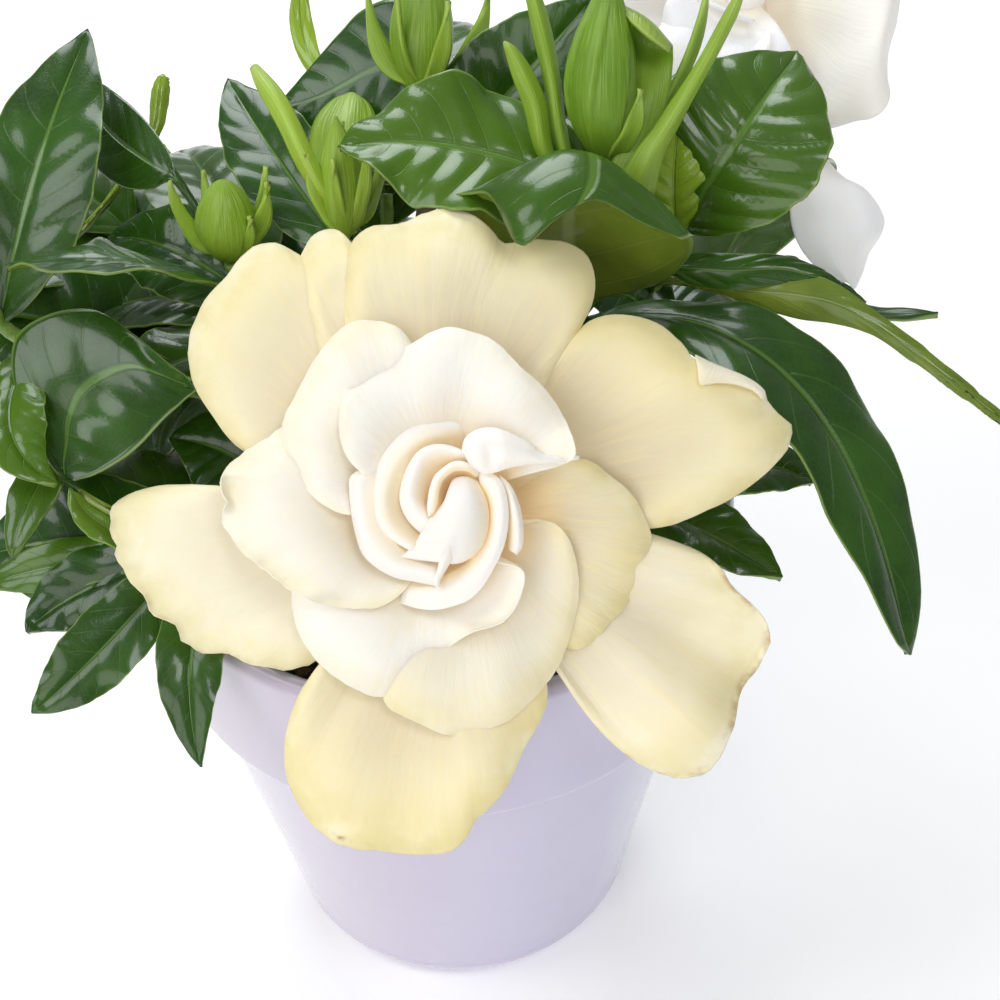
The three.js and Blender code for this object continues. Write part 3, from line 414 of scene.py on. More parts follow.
class Piece:
    """Collects closed surfaces with their vertex values, then makes one mesh object of them."""

    def __init__(self):
        self.points, self.faces, self.values, self.count = [], [], [], 0

    def add(self, points, faces, material=0, **values):
        self.points.append(points)
        self.faces.append((faces + self.count, material))
        self.values.append({key: np.broadcast_to(value, len(points)) for key, value in values.items()})
        self.count += len(points)

    def sheet(self, grid, thickness, **values):
        """A closed sheet round a grid of points."""
        n, m = grid.shape[:2]
        out = grid_normal(grid) * np.broadcast_to(thickness, (n, m))[..., None] / 2
        index = np.arange(n * m).reshape(n, m)
        a, b, c, d = index[:-1, :-1], index[1:, :-1], index[1:, 1:], index[:-1, 1:]
        top = np.stack([a, b, c, d], -1).reshape(-1, 4)
        under = np.stack([a, d, c, b], -1).reshape(-1, 4) + n * m
        ring = np.concatenate([index[:, 0], index[-1, 1:], index[-2::-1, -1], index[0, -2:0:-1]])
        on = np.roll(ring, -1)
        wall = np.stack([ring, ring + n * m, on + n * m, on], -1)
        points = np.concatenate([(grid + out).reshape(-1, 3), (grid - out).reshape(-1, 3)])
        both = {key: np.tile(np.broadcast_to(value, (n, m)).reshape(-1), 2) for key, value in values.items()}
        both["under"] = np.repeat([0.0, 1.0], n * m)
        self.add(points, np.concatenate([top, under, wall]), **both)

    def tube(self, centres, radii, sides=10, material=0, squash=1.0, **values):
        """A round tube along centres, its ends drawn to a point; squash are factors of its radii."""
        n = len(centres)
        way = unit(np.gradient(centres, axis=0))
        side = unit(np.cross(way, np.array([0.31, 0.95, 0.05])))
        front = np.cross(side, way)
        turn = TURN * np.arange(sides)[None, :, None] / sides
        ring = np.cos(turn) * side[:, None] + np.sin(turn) * front[:, None]
        size = np.broadcast_to(radii, (n,))[:, None] * squash
        start = centres[:1, None] - way[:1, None] * 0.1 + ring[:1] * 0.02
        end = centres[-1:, None] + way[-1:, None] * 0.1 + ring[-1:] * 0.02
        points = np.concatenate([start, centres[:, None] + ring * size[..., None], end]).reshape(-1, 3)
        self.add(points, ring_faces(n + 2, sides)[:, [0, 3, 2, 1]], material, **values)
        first, last = np.arange(sides), np.arange(sides)[::-1] + (n + 1) * sides
        for cap in (first, last):
            quads = [[cap[0], cap[1 + 2 * j], cap[2 + 2 * j], cap[(3 + 2 * j) % sides]]
                     for j in range(sides // 2 - 1)]
            self.faces.append((np.array(quads) + self.count - len(points), material))

    def make(self, name, materials, node, move=None):
        points = np.concatenate(self.points)
        if move is not None:
            points = moved(points, move)
        mesh = bpy.data.meshes.new(name)
        faces = np.concatenate([f for f, _ in self.faces])
        material = np.concatenate([np.full(len(f), k) for f, k in self.faces])
        mesh.vertices.add(len(points))
        mesh.vertices.foreach_set("co", (points * MM).astype(np.float32).ravel())
        mesh.loops.add(faces.size)
        mesh.loops.foreach_set("vertex_index", faces.astype(np.int32).ravel())
        mesh.polygons.add(len(faces))
        mesh.polygons.foreach_set("loop_start", np.arange(0, faces.size, 4, dtype=np.int32))
        mesh.polygons.foreach_set("loop_total", np.full(len(faces), 4, dtype=np.int32))
        mesh.polygons.foreach_set("material_index", material.astype(np.int32))
        mesh.update(calc_edges=True)
        mesh.validate()
        mesh.shade_smooth()
        for key in sorted({key for values in self.values for key in values}):
            data = np.concatenate([values.get(key, np.zeros(len(part)))
                                   for part, values in zip(self.points, self.values)])
            mesh.attributes.new(key, "FLOAT", "POINT").data.foreach_set("value", data.astype(np.float32))
        for m in materials:
            mesh.materials.append(m)
        obj = bpy.data.objects.new(name, mesh)
        bpy.context.scene.collection.objects.link(obj)
        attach(obj, "root")
        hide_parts(node)


SOCKETS = {
    "roughness": "Roughness", "coat": "Coat Weight", "coat_roughness": "Coat Roughness",
    "specular": "Specular IOR Level", "scatter": "Subsurface Weight", "scatter_radius": "Subsurface Radius",
    "scatter_scale": "Subsurface Scale", "sheen": "Sheen Weight", "sheen_roughness": "Sheen Roughness",
    "glow": "Emission Color", "glow_strength": "Emission Strength",
}


class Look:
    """Node material with short helpers."""

    def __init__(self, name, **settings):
        self.material = bpy.data.materials.new(name)
        self.material.use_nodes = True
        self.tree = self.material.node_tree
        self.shader = self.tree.nodes["Principled BSDF"]
        for key, value in settings.items():
            self.shader.inputs[SOCKETS[key]].default_value = value

    def node(self, kind, **settings):
        node = self.tree.nodes.new(kind)
        for key, value in settings.items():
            setattr(node, key, value)
        return node

    def put(self, socket, value):
        if isinstance(value, bpy.types.NodeSocket):
            self.tree.links.new(value, socket)
        else:
            socket.default_value = value

    def math(self, operation, *values, clamp=False):
        node = self.node("ShaderNodeMath", operation=operation, use_clamp=clamp)
        for socket, value in zip(node.inputs, values):
            self.put(socket, value)
        return node.outputs[0]

    def times(self, a, b):
        return self.math("MULTIPLY", a, b)

    def plus(self, a, b):
        return self.math("ADD", a, b)

    def rest(self, share):
        """What is left of 1."""
        return self.math("SUBTRACT", 1.0, share)

    def value(self, name):
        return self.node("ShaderNodeAttribute", attribute_name=name).outputs["Fac"]

    def step(self, x, low, high):
        node = self.node("ShaderNodeMapRange", interpolation_type="SMOOTHSTEP")
        self.put(node.inputs["Value"], x)
        node.inputs["From Min"].default_value = low
        node.inputs["From Max"].default_value = high
        return node.outputs["Result"]

    def mix(self, share, a, b):
        node = self.node("ShaderNodeMix", data_type="RGBA")
        self.put(node.inputs["Factor"], share)
        for socket, c in ((node.inputs[6], a), (node.inputs[7], b)):
            self.put(socket, (*c, 1) if isinstance(c, tuple) else c)
        return node.outputs[2]

    def place(self):
        return self.node("ShaderNodeTexCoord").outputs["Object"]

    def noise(self, scale, detail=3.0, rough=0.55):
        node = self.node("ShaderNodeTexNoise")
        self.put(node.inputs["Vector"], self.place())
        node.inputs["Scale"].default_value = scale
        node.inputs["Detail"].default_value = detail
        node.inputs["Roughness"].default_value = rough
        return node.outputs["Fac"]

    def lines(self, across, along, detail):
        """Noise in the measures across and along a sheet, so that it can be drawn out lengthwise."""
        vector = self.node("ShaderNodeCombineXYZ")
        self.put(vector.inputs[0], across)
        self.put(vector.inputs[1], along)
        node = self.node("ShaderNodeTexNoise", noise_dimensions="2D")
        self.put(node.inputs["Vector"], vector.outputs[0])
        node.inputs["Scale"].default_value = 1.0
        node.inputs["Detail"].default_value = detail
        return node.outputs["Fac"]

    def cells(self, scale, feature="F1"):
        node = self.node("ShaderNodeTexVoronoi", feature=feature)
        self.put(node.inputs["Vector"], self.place())
        node.inputs["Scale"].default_value = scale
        return node.outputs["Distance"]

    def bump(self, height, distance, strength=1.0):
        node = self.node("ShaderNodeBump")
        node.inputs["Distance"].default_value = distance
        node.inputs["Strength"].default_value = strength
        self.put(node.inputs["Height"], height)
        self.put(self.shader.inputs["Normal"], node.outputs["Normal"])

    def colour(self, value):
        self.put(self.shader.inputs["Base Color"], value)

    def rough(self, value):
        self.put(self.shader.inputs["Roughness"], value)


def glaze_look():
    """Lilac glaze with painted shade: darker and pinker on the left, lighter and bluer towards the right, as
    the light falls; faint specks and clouds.
    """
    look = Look("glaze", roughness=0.22, coat=0.6, coat_roughness=0.08)
    place = look.node("ShaderNodeSeparateXYZ")
    look.put(place.inputs[0], look.place())
    # Painted shade: the left side of the pot gets the darker, pinker glaze, the right side the lighter, bluer
    # one
    side = look.step(look.plus(place.outputs["X"], look.times(look.noise(14, 4), 0.03)), -0.05, 0.06)
    base = look.mix(side, (0.58, 0.51, 0.60), (0.60, 0.57, 0.77))
    speck = look.step(look.cells(420), 0.0, 0.09)
    base = look.mix(look.times(look.rest(speck), 0.25), base, (0.42, 0.36, 0.46))
    look.colour(look.mix(look.times(look.noise(60, 5), 0.18), base, (0.75, 0.72, 0.86)))
    look.rough(look.plus(0.16, look.times(look.noise(90, 4), 0.14)))
    look.bump(look.plus(look.noise(45, 2), look.times(look.noise(500, 2), 0.12)), 0.0004)
    return look.material


def soil_look():
    """Dark crumbs; chips of bark are browner."""
    look = Look("soil", roughness=0.95)
    grain = look.noise(420, 8, 0.7)
    crumb = look.mix(look.step(grain, 0.35, 0.7), (0.012, 0.008, 0.006), (0.07, 0.045, 0.028))
    chip = look.mix(look.noise(900), (0.10, 0.055, 0.03), (0.24, 0.15, 0.09))
    look.colour(look.mix(look.value("chip"), crumb, chip))
    look.bump(look.plus(grain, look.times(look.cells(500), 1.4)), 0.0012)
    return look.material


def bark_look():
    look = Look("bark", roughness=0.85)
    rings = look.noise(160, 5, 0.65)
    patch = look.noise(900, 6, 0.6)
    base = look.mix(look.step(rings, 0.3, 0.7), (0.09, 0.062, 0.035), (0.26, 0.20, 0.12))
    look.colour(look.mix(look.times(look.step(patch, 0.52, 0.68), 0.6), base, (0.34, 0.30, 0.22)))
    look.bump(look.plus(patch, rings), 0.0007)
    return look.material


def stem_look():
    look = Look("green_stem", roughness=0.42)
    stripe = look.noise(350, 5)
    look.colour(look.mix(look.step(stripe, 0.3, 0.72), (0.12, 0.24, 0.03), (0.30, 0.43, 0.09)))
    look.bump(look.noise(1200, 4), 0.0002)
    return look.material


def leaf_look():
    """Glossy above with pale veins, matt olive below; the blade swells between its side veins."""
    look = Look("leaf", roughness=0.3, specular=0.32, coat=0.5, coat_roughness=0.12)
    u, v, under, young = look.value("leaf_u"), look.value("leaf_v"), look.value("under"), look.value("young")
    out = look.math("ABSOLUTE", v)
    lean = look.times(look.math("POWER", out, VEIN_CURVE), VEIN_LEAN)
    along = look.times(look.math("SUBTRACT", u, lean), SIDE_VEINS)
    away = look.math("ABSOLUTE", look.math("SUBTRACT", look.math("FRACT", along), 0.5))
    side = look.times(look.step(away, 0.455, 0.5), look.rest(look.step(out, 0.72, 0.98)))
    middle = look.rest(look.step(out, 0.02, 0.075))
    vein = look.math("MAXIMUM", middle, look.times(side, 0.28))
    cloud = look.noise(70, 4)
    net = look.step(look.cells(900, "DISTANCE_TO_EDGE"), 0.0, 0.12)
    top = look.mix(look.step(cloud, 0.32, 0.7), (0.010, 0.045, 0.003), (0.028, 0.098, 0.006))
    top = look.mix(look.times(look.rest(net), 0.25), top, (0.04, 0.12, 0.010))
    top = look.mix(look.times(look.value("tone"), 0.8), top, (0.10, 0.21, 0.010))
    top = look.mix(look.times(young, 0.85), top, (0.34, 0.52, 0.03))
    grown = look.math("SUBTRACT", 0.6, look.times(young, 0.5))
    top = look.mix(look.times(vein, grown), top, (0.13, 0.26, 0.04))
    low = look.mix(look.step(cloud, 0.3, 0.7), (0.11, 0.17, 0.012), (0.19, 0.27, 0.02))
    low = look.mix(look.times(vein, 0.8), low, (0.28, 0.36, 0.11))
    rim = look.times(look.step(out, 0.955, 0.99), 0.55)
    look.colour(look.mix(rim, look.mix(under, top, low), (0.27, 0.40, 0.09)))
    look.rough(look.plus(look.plus(0.23, look.times(under, 0.25)), look.times(look.noise(60, 2), 0.12)))
    look.bump(look.plus(look.rest(vein), look.times(net, 0.04)), 0.0003, 0.8)
    return look.material


def bud_look():
    """Fresh green, paler on its ribs and towards its tip, with a crinkle that runs lengthwise."""
    look = Look("bud", roughness=0.38, scatter=0.12, scatter_radius=(0.4, 1.0, 0.15), scatter_scale=0.002)
    up, rib = look.value("leaf_u"), look.value("rib")
    base = look.mix(look.step(look.noise(160), 0.25, 0.8), (0.10, 0.235, 0.012), (0.15, 0.30, 0.018))
    base = look.mix(look.value("bright"), base, (0.42, 0.60, 0.05))
    base = look.mix(look.times(rib, 0.7), base, (0.42, 0.60, 0.10))
    crinkle = look.lines(look.times(look.value("swing"), 9.0), look.times(up, 3.0), detail=3.0)
    base = look.mix(look.times(look.step(crinkle, 0.5, 0.72), 0.4), base, (0.26, 0.42, 0.04))
    look.colour(look.mix(look.times(look.step(up, 0.75, 1.0), 0.5), base, (0.50, 0.62, 0.16)))
    look.bump(look.plus(crinkle, look.times(look.noise(1800), 0.2)), 0.0003, 0.6)
    return look.material


def petal_look(name, white, cream_shaded_to_clear, margin, throat, glow, glow_strength):
    """Petal: darker near its root, partly its own duller colour and partly painted shade of the petals above;
    faint wrinkles run out from there; margin yellower; painted warm shade makes the throat and crevices
    peach.
    """
    look = Look(name, roughness=0.5, scatter=0.25, scatter_radius=(1.0, 0.75, 0.42), scatter_scale=0.002,
                specular=0.3, sheen=0.06, sheen_roughness=0.5, glow=(*glow, 1), glow_strength=glow_strength)
    reach, swing, cream = look.value("reach"), look.value("swing"), look.value("cream")
    vein, warm = look.value("vein"), look.value("warm")
    cloud = look.noise(38, 4)
    sway = look.times(look.noise(55, 2), 2.2)
    lines = look.lines(look.plus(look.times(swing, 24.0), sway), look.times(reach, 3.0), detail=4.0)
    pale = look.rest(look.times(look.value("under"), 0.5))
    # Near the root the petal takes the first, darker white and cream colours: partly its own duller colour,
    # partly painted shade cast by the petals above
    white_shaded_near_root = look.mix(look.step(reach, 0.1, 0.7), *white)
    base = look.mix(look.times(cream, pale), white_shaded_near_root, look.mix(look.step(reach, 0.4, 0.95), *cream_shaded_to_clear))
    mottled = look.times(look.step(cloud, 0.38, 0.7), look.plus(0.08, look.times(cream, 0.3)))
    base = look.mix(mottled, base, cream_shaded_to_clear[0])
    depth = look.times(look.step(reach, 0.5, 1.0), look.plus(0.06, look.times(cream, 0.6)))
    base = look.mix(look.times(depth, look.step(cloud, 0.2, 0.7)), base, margin)
    streak = look.times(look.step(lines, 0.45, 0.75), vein)
    base = look.mix(look.times(streak, look.times(look.step(cloud, 0.35, 0.65), 0.5)), base, margin)
    edge = look.times(look.value("edge"), look.plus(0.15, look.times(cream, 0.7)))
    base = look.mix(look.times(edge, look.step(look.noise(120), 0.3, 0.6)), base, (0.74, 0.63, 0.27))
    # Painted warm shade: peach in the throat and in the crevices of the heart
    base = look.mix(warm, base, throat)
    # Brown painted shadow where the warm shade is deepest, in the crevices round and under the wrapped centre
    base = look.mix(look.times(look.step(warm, 0.84, 1.0), 0.75), base, (0.60, 0.34, 0.12))
    dry = look.math("MULTIPLY", look.step(reach, 0.955, 1.0), look.value("brown"), clamp=True)
    spots = look.step(look.noise(190, 4), 0.42, 0.62)
    look.colour(look.mix(look.times(dry, spots), base, (0.30, 0.13, 0.035)))
    look.rough(look.plus(0.42, look.times(look.noise(300), 0.2)))
    fold = look.times(lines, look.plus(0.3, vein))
    look.bump(look.plus(fold, look.times(look.noise(900), 0.12)), 0.0004, 0.5)
    return look.material


def floor_look():
    look = Look("floor", roughness=0.6, glow=(1, 1, 1, 1), glow_strength=0.2)
    look.colour(look.mix(look.noise(6, 2), (0.93, 0.93, 0.93), (0.96, 0.96, 0.96)))
    return look.material


def lathe(profile, segments):
    """Closed grid of quads round Z from a profile of (radius, height) that starts and ends on the axis."""
    r, z = np.array(profile, float).T
    turn = TURN * np.arange(segments) / segments
    points = np.stack([r[:, None] * np.cos(turn), r[:, None] * np.sin(turn),
                       np.broadcast_to(z[:, None], (len(r), segments))], -1).reshape(-1, 3)
    return points, ring_faces(len(r), segments)


def rounded(points, radius, steps=5):
    """Profile with its inner corners rounded."""
    p = np.array(points, float)
    out = [p[0]]
    for a, b, c in zip(p[:-2], p[1:-1], p[2:]):
        r = min(radius, 0.45 * np.linalg.norm(b - a), 0.45 * np.linalg.norm(c - b))
        start, end = b + (a - b) / np.linalg.norm(a - b) * r, b + (c - b) / np.linalg.norm(c - b) * r
        for t in np.linspace(0, 1, steps):
            out.append((1 - t)**2 * start + 2 * t * (1 - t) * b + t * t * end)
    out.append(p[-1])
    return out


def make_pot(material):
    band, shoulder = POT["height"] - POT["band"], POT["shoulder"]
    foot, rim, wall, height, rounding = POT["foot"], POT["rim"], POT["wall"], POT["height"], POT["rounding"]
    base = [(AXIS, 0), (foot - rounding, 0)]
    curve = [(foot - rounding * (1 - math.sin(t)), rounding * (1 - math.cos(t)))
             for t in np.linspace(0.15, math.pi / 2, 9)]
    rest = [(shoulder, band - POT["step"]), (POT["band_foot"], band), (rim, height - RIM_BEVEL),
            (rim - 1.2, height), (rim - wall + 1.0, height), (rim - wall, height - RIM_BEVEL),
            (shoulder - wall, band - 2 * POT["step"]), (foot - wall, POT["floor"]), (AXIS, POT["floor"])]
    longest_edge = 4
    fine = []
    profile = rounded([*base, *curve, *rest], EDGE_ROUNDING)
    for a, b in zip(profile[:-1], profile[1:]):
        steps = max(1, int(np.linalg.norm(np.subtract(b, a)) / longest_edge))
        fine += [np.array(a) + (np.array(b) - a) * k / steps for k in range(steps)]
    fine.append(profile[-1])
    piece = Piece()
    piece.add(*lathe(fine, POT_SEGMENTS))
    piece.make("glazed_pot", [material], "pot")


def inner_radius(z):
    """Radius of the pot's inside at a height."""
    shoulder = POT["height"] - POT["band"] - 2 * POT["step"]
    if z < shoulder:
        share = (z - POT["floor"]) / (shoulder - POT["floor"])
        return POT["foot"] + (POT["shoulder"] - POT["foot"]) * share - POT["wall"]
    share = (z - shoulder) / (POT["height"] - RIM_BEVEL - shoulder)
    return POT["shoulder"] + (POT["rim"] - POT["shoulder"]) * share - POT["wall"]


def soil_top(x, y):
    """Height of the crumbly mound of soil."""
    radius = np.hypot(x, y)
    edge = radius / inner_radius(SOIL_LEVEL)
    turn = np.arctan2(y, x)
    bumps = np.sin(3 * turn + 9 * edge) + np.sin(7 * turn - 5 * edge)
    rough = 0.5 * ripples(x, y, 9, 3) + 0.32 * ripples(x, y, 3.2, 4) + 0.2 * ripples(x, y, 1.6, 5)
    return SOIL_LEVEL - 0.3 + SOIL_MOUND * (1 - edge**2) + 0.4 * bumps * edge + rough


def make_soil(material):
    rings, segments = SOIL
    chips, clear = 260, 7
    outer = inner_radius(SOIL_LEVEL) - 0.6
    low = [(AXIS, POT["floor"] + 1), (inner_radius(POT["floor"]) - 1, POT["floor"] + 1),
           (inner_radius(60) - 0.8, 60), (outer - 0.3, SOIL_LEVEL - 4)]
    points, faces = lathe([*low, *[(r, 0) for r in np.linspace(outer, AXIS, rings)]], segments)
    top = points.reshape(-1, segments, 3)[len(low):]
    top[..., 2] = soil_top(top[..., 0], top[..., 1])
    piece = Piece()
    piece.add(points, faces)
    for _ in range(chips):
        r, t = outer * math.sqrt(rng.uniform(0.02, 0.97)), rng.uniform(0, TURN)
        if r < clear:
            continue
        x, y = r * math.cos(t), r * math.sin(t)
        size = rng.uniform(0.6, 2.1) * np.array([1, rng.uniform(0.4, 0.8), rng.uniform(0.3, 0.6)])
        piece.add(*pebble((x, y, soil_top(x, y) + 0.25), size, rng.uniform(0, TURN)), chip=1.0)
    piece.make("potting_soil", [material], "soil")


def pebble(centre, size, turn):
    """A rough closed lump of quads: a cube's faces drawn out to a ball and knocked about."""
    steps = np.linspace(-1, 1, 4)
    points, faces = [], []
    for axis in range(3):
        for sign in (-1, 1):
            a, b = np.meshgrid(steps, steps, indexing="ij")
            p = np.zeros((4, 4, 3))
            p[..., axis], p[..., (axis + 1) % 3], p[..., (axis + 2) % 3] = sign, a, b
            i = np.arange(16).reshape(4, 4) + 16 * len(points)
            q = np.stack([i[:-1, :-1], i[1:, :-1], i[1:, 1:], i[:-1, 1:]], -1).reshape(-1, 4)
            faces.append(q if sign > 0 else q[:, ::-1])
            points.append(unit(p).reshape(-1, 3))
    p = np.concatenate(points)
    knock = 1 + 0.18 * np.sin(3.1 * p[:, :1] + 5 * p[:, 1:2] + turn) + 0.1 * np.sin(7 * p[:, 2:] + 3 * turn)
    p = p * knock * size
    c, s = math.cos(turn), math.sin(turn)
    p = p @ np.array([[c, s, 0], [-s, c, 0], [0, 0, 1]]) + centre
    return p, np.concatenate(faces)


def knotted(count, sides, seed):
    """Radius factors that make a woody tube uneven, with rings at its old nodes."""
    r = np.random.default_rng(seed)
    u = np.linspace(0, 1, count)[:, None]
    t = TURN * np.arange(sides)[None] / sides
    lumps = 0.07 * np.sin(2 * t + 9 * u + r.uniform(0, 6)) + 0.05 * np.sin(3 * t - 17 * u)
    nodes = 0.13 * np.exp(-((u * 5 % 1) - 0.5)**2 / 0.006)
    return 1 + lumps + nodes + 0.04 * r.standard_normal((count, sides))


def make_wood(material):
    piece = Piece()
    n, sides = TRUNK
    trunk = Route([TRUNK_FOOT, (0, 4, 92), (0, 4, 105)]).at(np.linspace(0, 1, n))
    piece.tube(trunk, np.linspace(4.3, 3.6, n), sides, squash=knotted(n, sides, TRUNK_SEED))
    n, sides = LIMB
    for k, name in enumerate(LIMBS):
        line = Route(limb_route(name)).at(np.linspace(0, 1, n))
        piece.tube(line, np.linspace(2.6, 1.7, n), sides, squash=knotted(n, sides, LIMB_SEED + k))
    piece.make("woody_stems", [material], "wood")


def vein_swell(u, out):
    """Height of the fields between the side veins, at shares along and across a blade."""
    fields = np.abs(np.sin(math.pi * SIDE_VEINS * (u - VEIN_LEAN * out**VEIN_CURVE)))**0.6
    return (fields - 0.8) * np.sin(math.pi * np.minimum(out, 1) * 0.93)


def leaf_grid(root, spec, n, m, seed):
    """Points of a blade: arched midrib, oval outline, keel, waved margin and swollen fields between veins."""
    u = np.linspace(0, 1, n)[:, None, None]
    bunch = math.pi / 2 * 0.92
    v = (np.sin(np.linspace(-1, 1, m) * bunch) / math.sin(bunch))[None, :, None]
    via, tip = np.array(spec["via"]), np.array(spec["tip"])
    mid, side, front = arch(root, via, tip, u, spec.get("face", (0, 0, 1)))
    oval = np.sin(math.pi * u**spec.get("skew", 0.85))**spec.get("blunt", 0.85)
    r = np.random.default_rng(seed)
    ragged = 1 + 0.018 * np.sin(TURN * 5.3 * u + r.uniform(0, 6) + np.sign(v)) \
        + 0.008 * np.sin(TURN * 13 * u + r.uniform(0, 6) - np.sign(v))
    half = np.maximum(0.9 - 0.76 * u, spec["width"] / 2 * oval * ragged)
    out = np.abs(v)
    keel = 0.3 * out - 0.22 * v**2
    wave = np.sin(TURN * 2.2 * u + np.where(v > 0, 2, 0)) * v**2
    finer = 0.35 * np.sin(TURN * 4.7 * u + r.uniform(0, 6) + 2 * np.sign(v)) * out**3
    swell = 0.042 * spec.get("quilt", 1) * half * vein_swell(u, out) * ease(half, 1.2, 4)
    groove = -0.3 * np.exp(-(v * half / 0.7)**2) * ease(half, 1.5, 4)
    rise = half * keel + (spec.get("wave", 0.6) * wave + finer) * np.minimum(1, half / 6) + swell + groove
    return mid - side * v * half + front * rise, u[..., 0], v[..., 0], half[..., 0]


def drawn_leaf(root, rows, n, m):
    """A blade through rows that stand in the picture frame, its petiole drawn to the stem."""
    placed = seen_rows(rows)
    foot = root + (placed[0] - placed[0].mean(0)) * 0.12
    grid = rows_grid([foot, *placed], n, m)
    u, v = np.linspace(0, 1, n)[:, None], np.linspace(-1, 1, m)[None]
    half = np.linalg.norm(grid[:, -1] - grid[:, 0], axis=-1)[:, None] / 2
    return grid + grid_normal(grid) * 0.25 * vein_swell(u, np.abs(v))[..., None], u, v, half


def make_shoot(name, looks):
    """Stem and leaves of a shoot; a leaf's place along the stem is a share of its length."""
    route = Route(shoot_route(name))
    piece = Piece()
    share = np.linspace(0, 1, 26)
    nodes = 1 + 0.12 * np.exp(-((share * 4) % 1 - 0.5)**2 / 0.01)
    piece.tube(route.at(share), np.linspace(1.65, 1.25, len(share)), material=1, squash=nodes[:, None])
    for k, spec in enumerate(SHOOTS[name][1]):
        seed = text_number(name) + k
        root = route.at(LEAFY * spec["at"])[0]
        n, m = WIDE_LEAF if spec["width"] > WIDE else NARROW_LEAF
        if "rows" in spec:
            grid, u, v, half = drawn_leaf(root, spec["rows"], n, m)
        else:
            grid, u, v, half = leaf_grid(root, spec, n, m, seed)
        thickness = 0.75 - 0.4 * np.abs(v)**3 + 0.7 * (1 - ease(half, 1.1, 2.2))
        tone = spec.get("tone", np.random.default_rng(seed).uniform(0, PALEST))
        piece.sheet(grid, thickness, leaf_u=u, leaf_v=v, young=spec.get("young", 0.0), tone=tone)
    piece.make("leafy_" + name, looks, name)


def text_number(text):
    """A seed from a name, the same in each run."""
    return sum((k + 1) * ord(c) for k, c in enumerate(text))


def sepal_grid(direction, height, reach, half_width, foot=0.6):
    """A keeled strap that bows out from the foot and narrows to a long tip."""
    n, m = SEPAL
    t = math.radians(direction)

    def place(out, up):
        return np.array([out * math.cos(t), out * math.sin(t), up])

    u, v = np.linspace(0, 1, n)[:, None, None], np.linspace(-1, 1, m)[None, :, None]
    root, via, tip = place(foot, 0.8), place(0.72 * reach, 0.42 * height), place(reach, height)
    mid, side, front = arch(root, via, tip, u, place(1, 0.4))
    half = np.maximum(0.22, half_width * np.sin(math.pi * (0.16 + 0.84 * u))**0.9)
    twist = 1.15 * abs(math.cos(t)) * ease(u, 0.05, 0.35) + 0.5 * (u - 0.4)
    across = side * np.cos(twist) + front * np.sin(twist)
    lift = -0.45 * half * (1 - v**2) + 0.25 * np.sin(TURN * 1.6 * u + direction) * v
    return mid - across * v * half + front * lift, u[..., 0], v[..., 0]


def bud_frame(foot, tip):
    """Matrix that stands Z on the foot and points it to the tip, and the length between them."""
    axis = Vector(tip) - Vector(foot)
    turn = Vector((0, 0, 1)).rotation_difference(axis.normalized())
    return Matrix.Translation(Vector(foot)) @ turn.to_matrix().to_4x4(), axis.length


def make_bud(name, material):
    """A bud of overlapping ribbed petals round Z, moved onto its shoot, with its sepals."""
    bud = BUDS[name]
    move, length = bud_frame(beyond(shoot_route(bud["on"]))[0], bud["tip"])
    n, m = BUD
    u = np.linspace(0, 1, n)[:, None]
    t = TURN * np.arange(m)[None] / m
    blunt = bud.get("blunt", 0)
    belly = np.sin(math.pi * u**(0.78 + 0.14 * blunt))**(0.8 - 0.25 * blunt)
    fold = (6 * t / TURN - 0.75 * u) % 1
    step = bud.get("fold", 0.06) * ease(u, 0.1, 0.35)
    petals = 1 + step * (fold - 0.5) - 1.3 * step * ease(fold, 0.86, 1.0)
    wrinkle = np.sin(30 * t - 9 * u) + 0.8 * np.sin(47 * t - 16 * u + 3 * np.sin(5 * u)) * ease(u, 0.3, 0.8)
    ribs = 0.1 * step * wrinkle + 0.02 * np.sin(5 * t - 4 * u)
    radius = np.maximum(0.9 - 0.6 * u, bud["radius"] * belly) * (petals + ribs)
    bow = bud.get("bow", 0) * np.sin(math.pi * u)
    z = np.broadcast_to(u * length, radius.shape)
    points, faces = capped(np.stack([radius * np.cos(t) + bow, radius * np.sin(t), z], -1), share=0.05)
    up = 0.7 * np.repeat([0, *u[:, 0], 1], m)
    rib = 0.35 * np.exp(-((fold - 0.86) / 0.05)**2)
    rib = np.concatenate([rib[:1], rib, rib[-1:]]).reshape(-1)
    swing = np.tile(6 * np.abs((t[0] / TURN - 0.25) % 1 - 0.5), n + 2)
    piece = Piece()
    piece.add(points, faces, leaf_u=up, rib=rib, swing=swing, bright=bud["shine"])
    for sepal in bud["sepals"]:
        grid, along, across = sepal_grid(*sepal)
        piece.sheet(grid, 1.3 - 0.8 * across**2, leaf_u=along, rib=0.6 * across**4, swing=across,
                    bright=bud["shine"] + 0.2)
    n, m = DRAWN_SEPAL
    along, across = np.linspace(0, 1, n)[:, None], np.linspace(-1, 1, m)[None]
    for rows, shine, rib in DRAWN_SEPALS.get(name, ()):
        grid = moved(rows_grid(seen_rows(rows), n, m)[:, ::-1], move.inverted())
        piece.sheet(grid, 0.75 - 0.4 * across**2, leaf_u=along, swing=across,
                    rib=rib * np.exp(-(across / 0.12)**2), bright=shine)
    piece.make("green_" + name, [material], name, move)


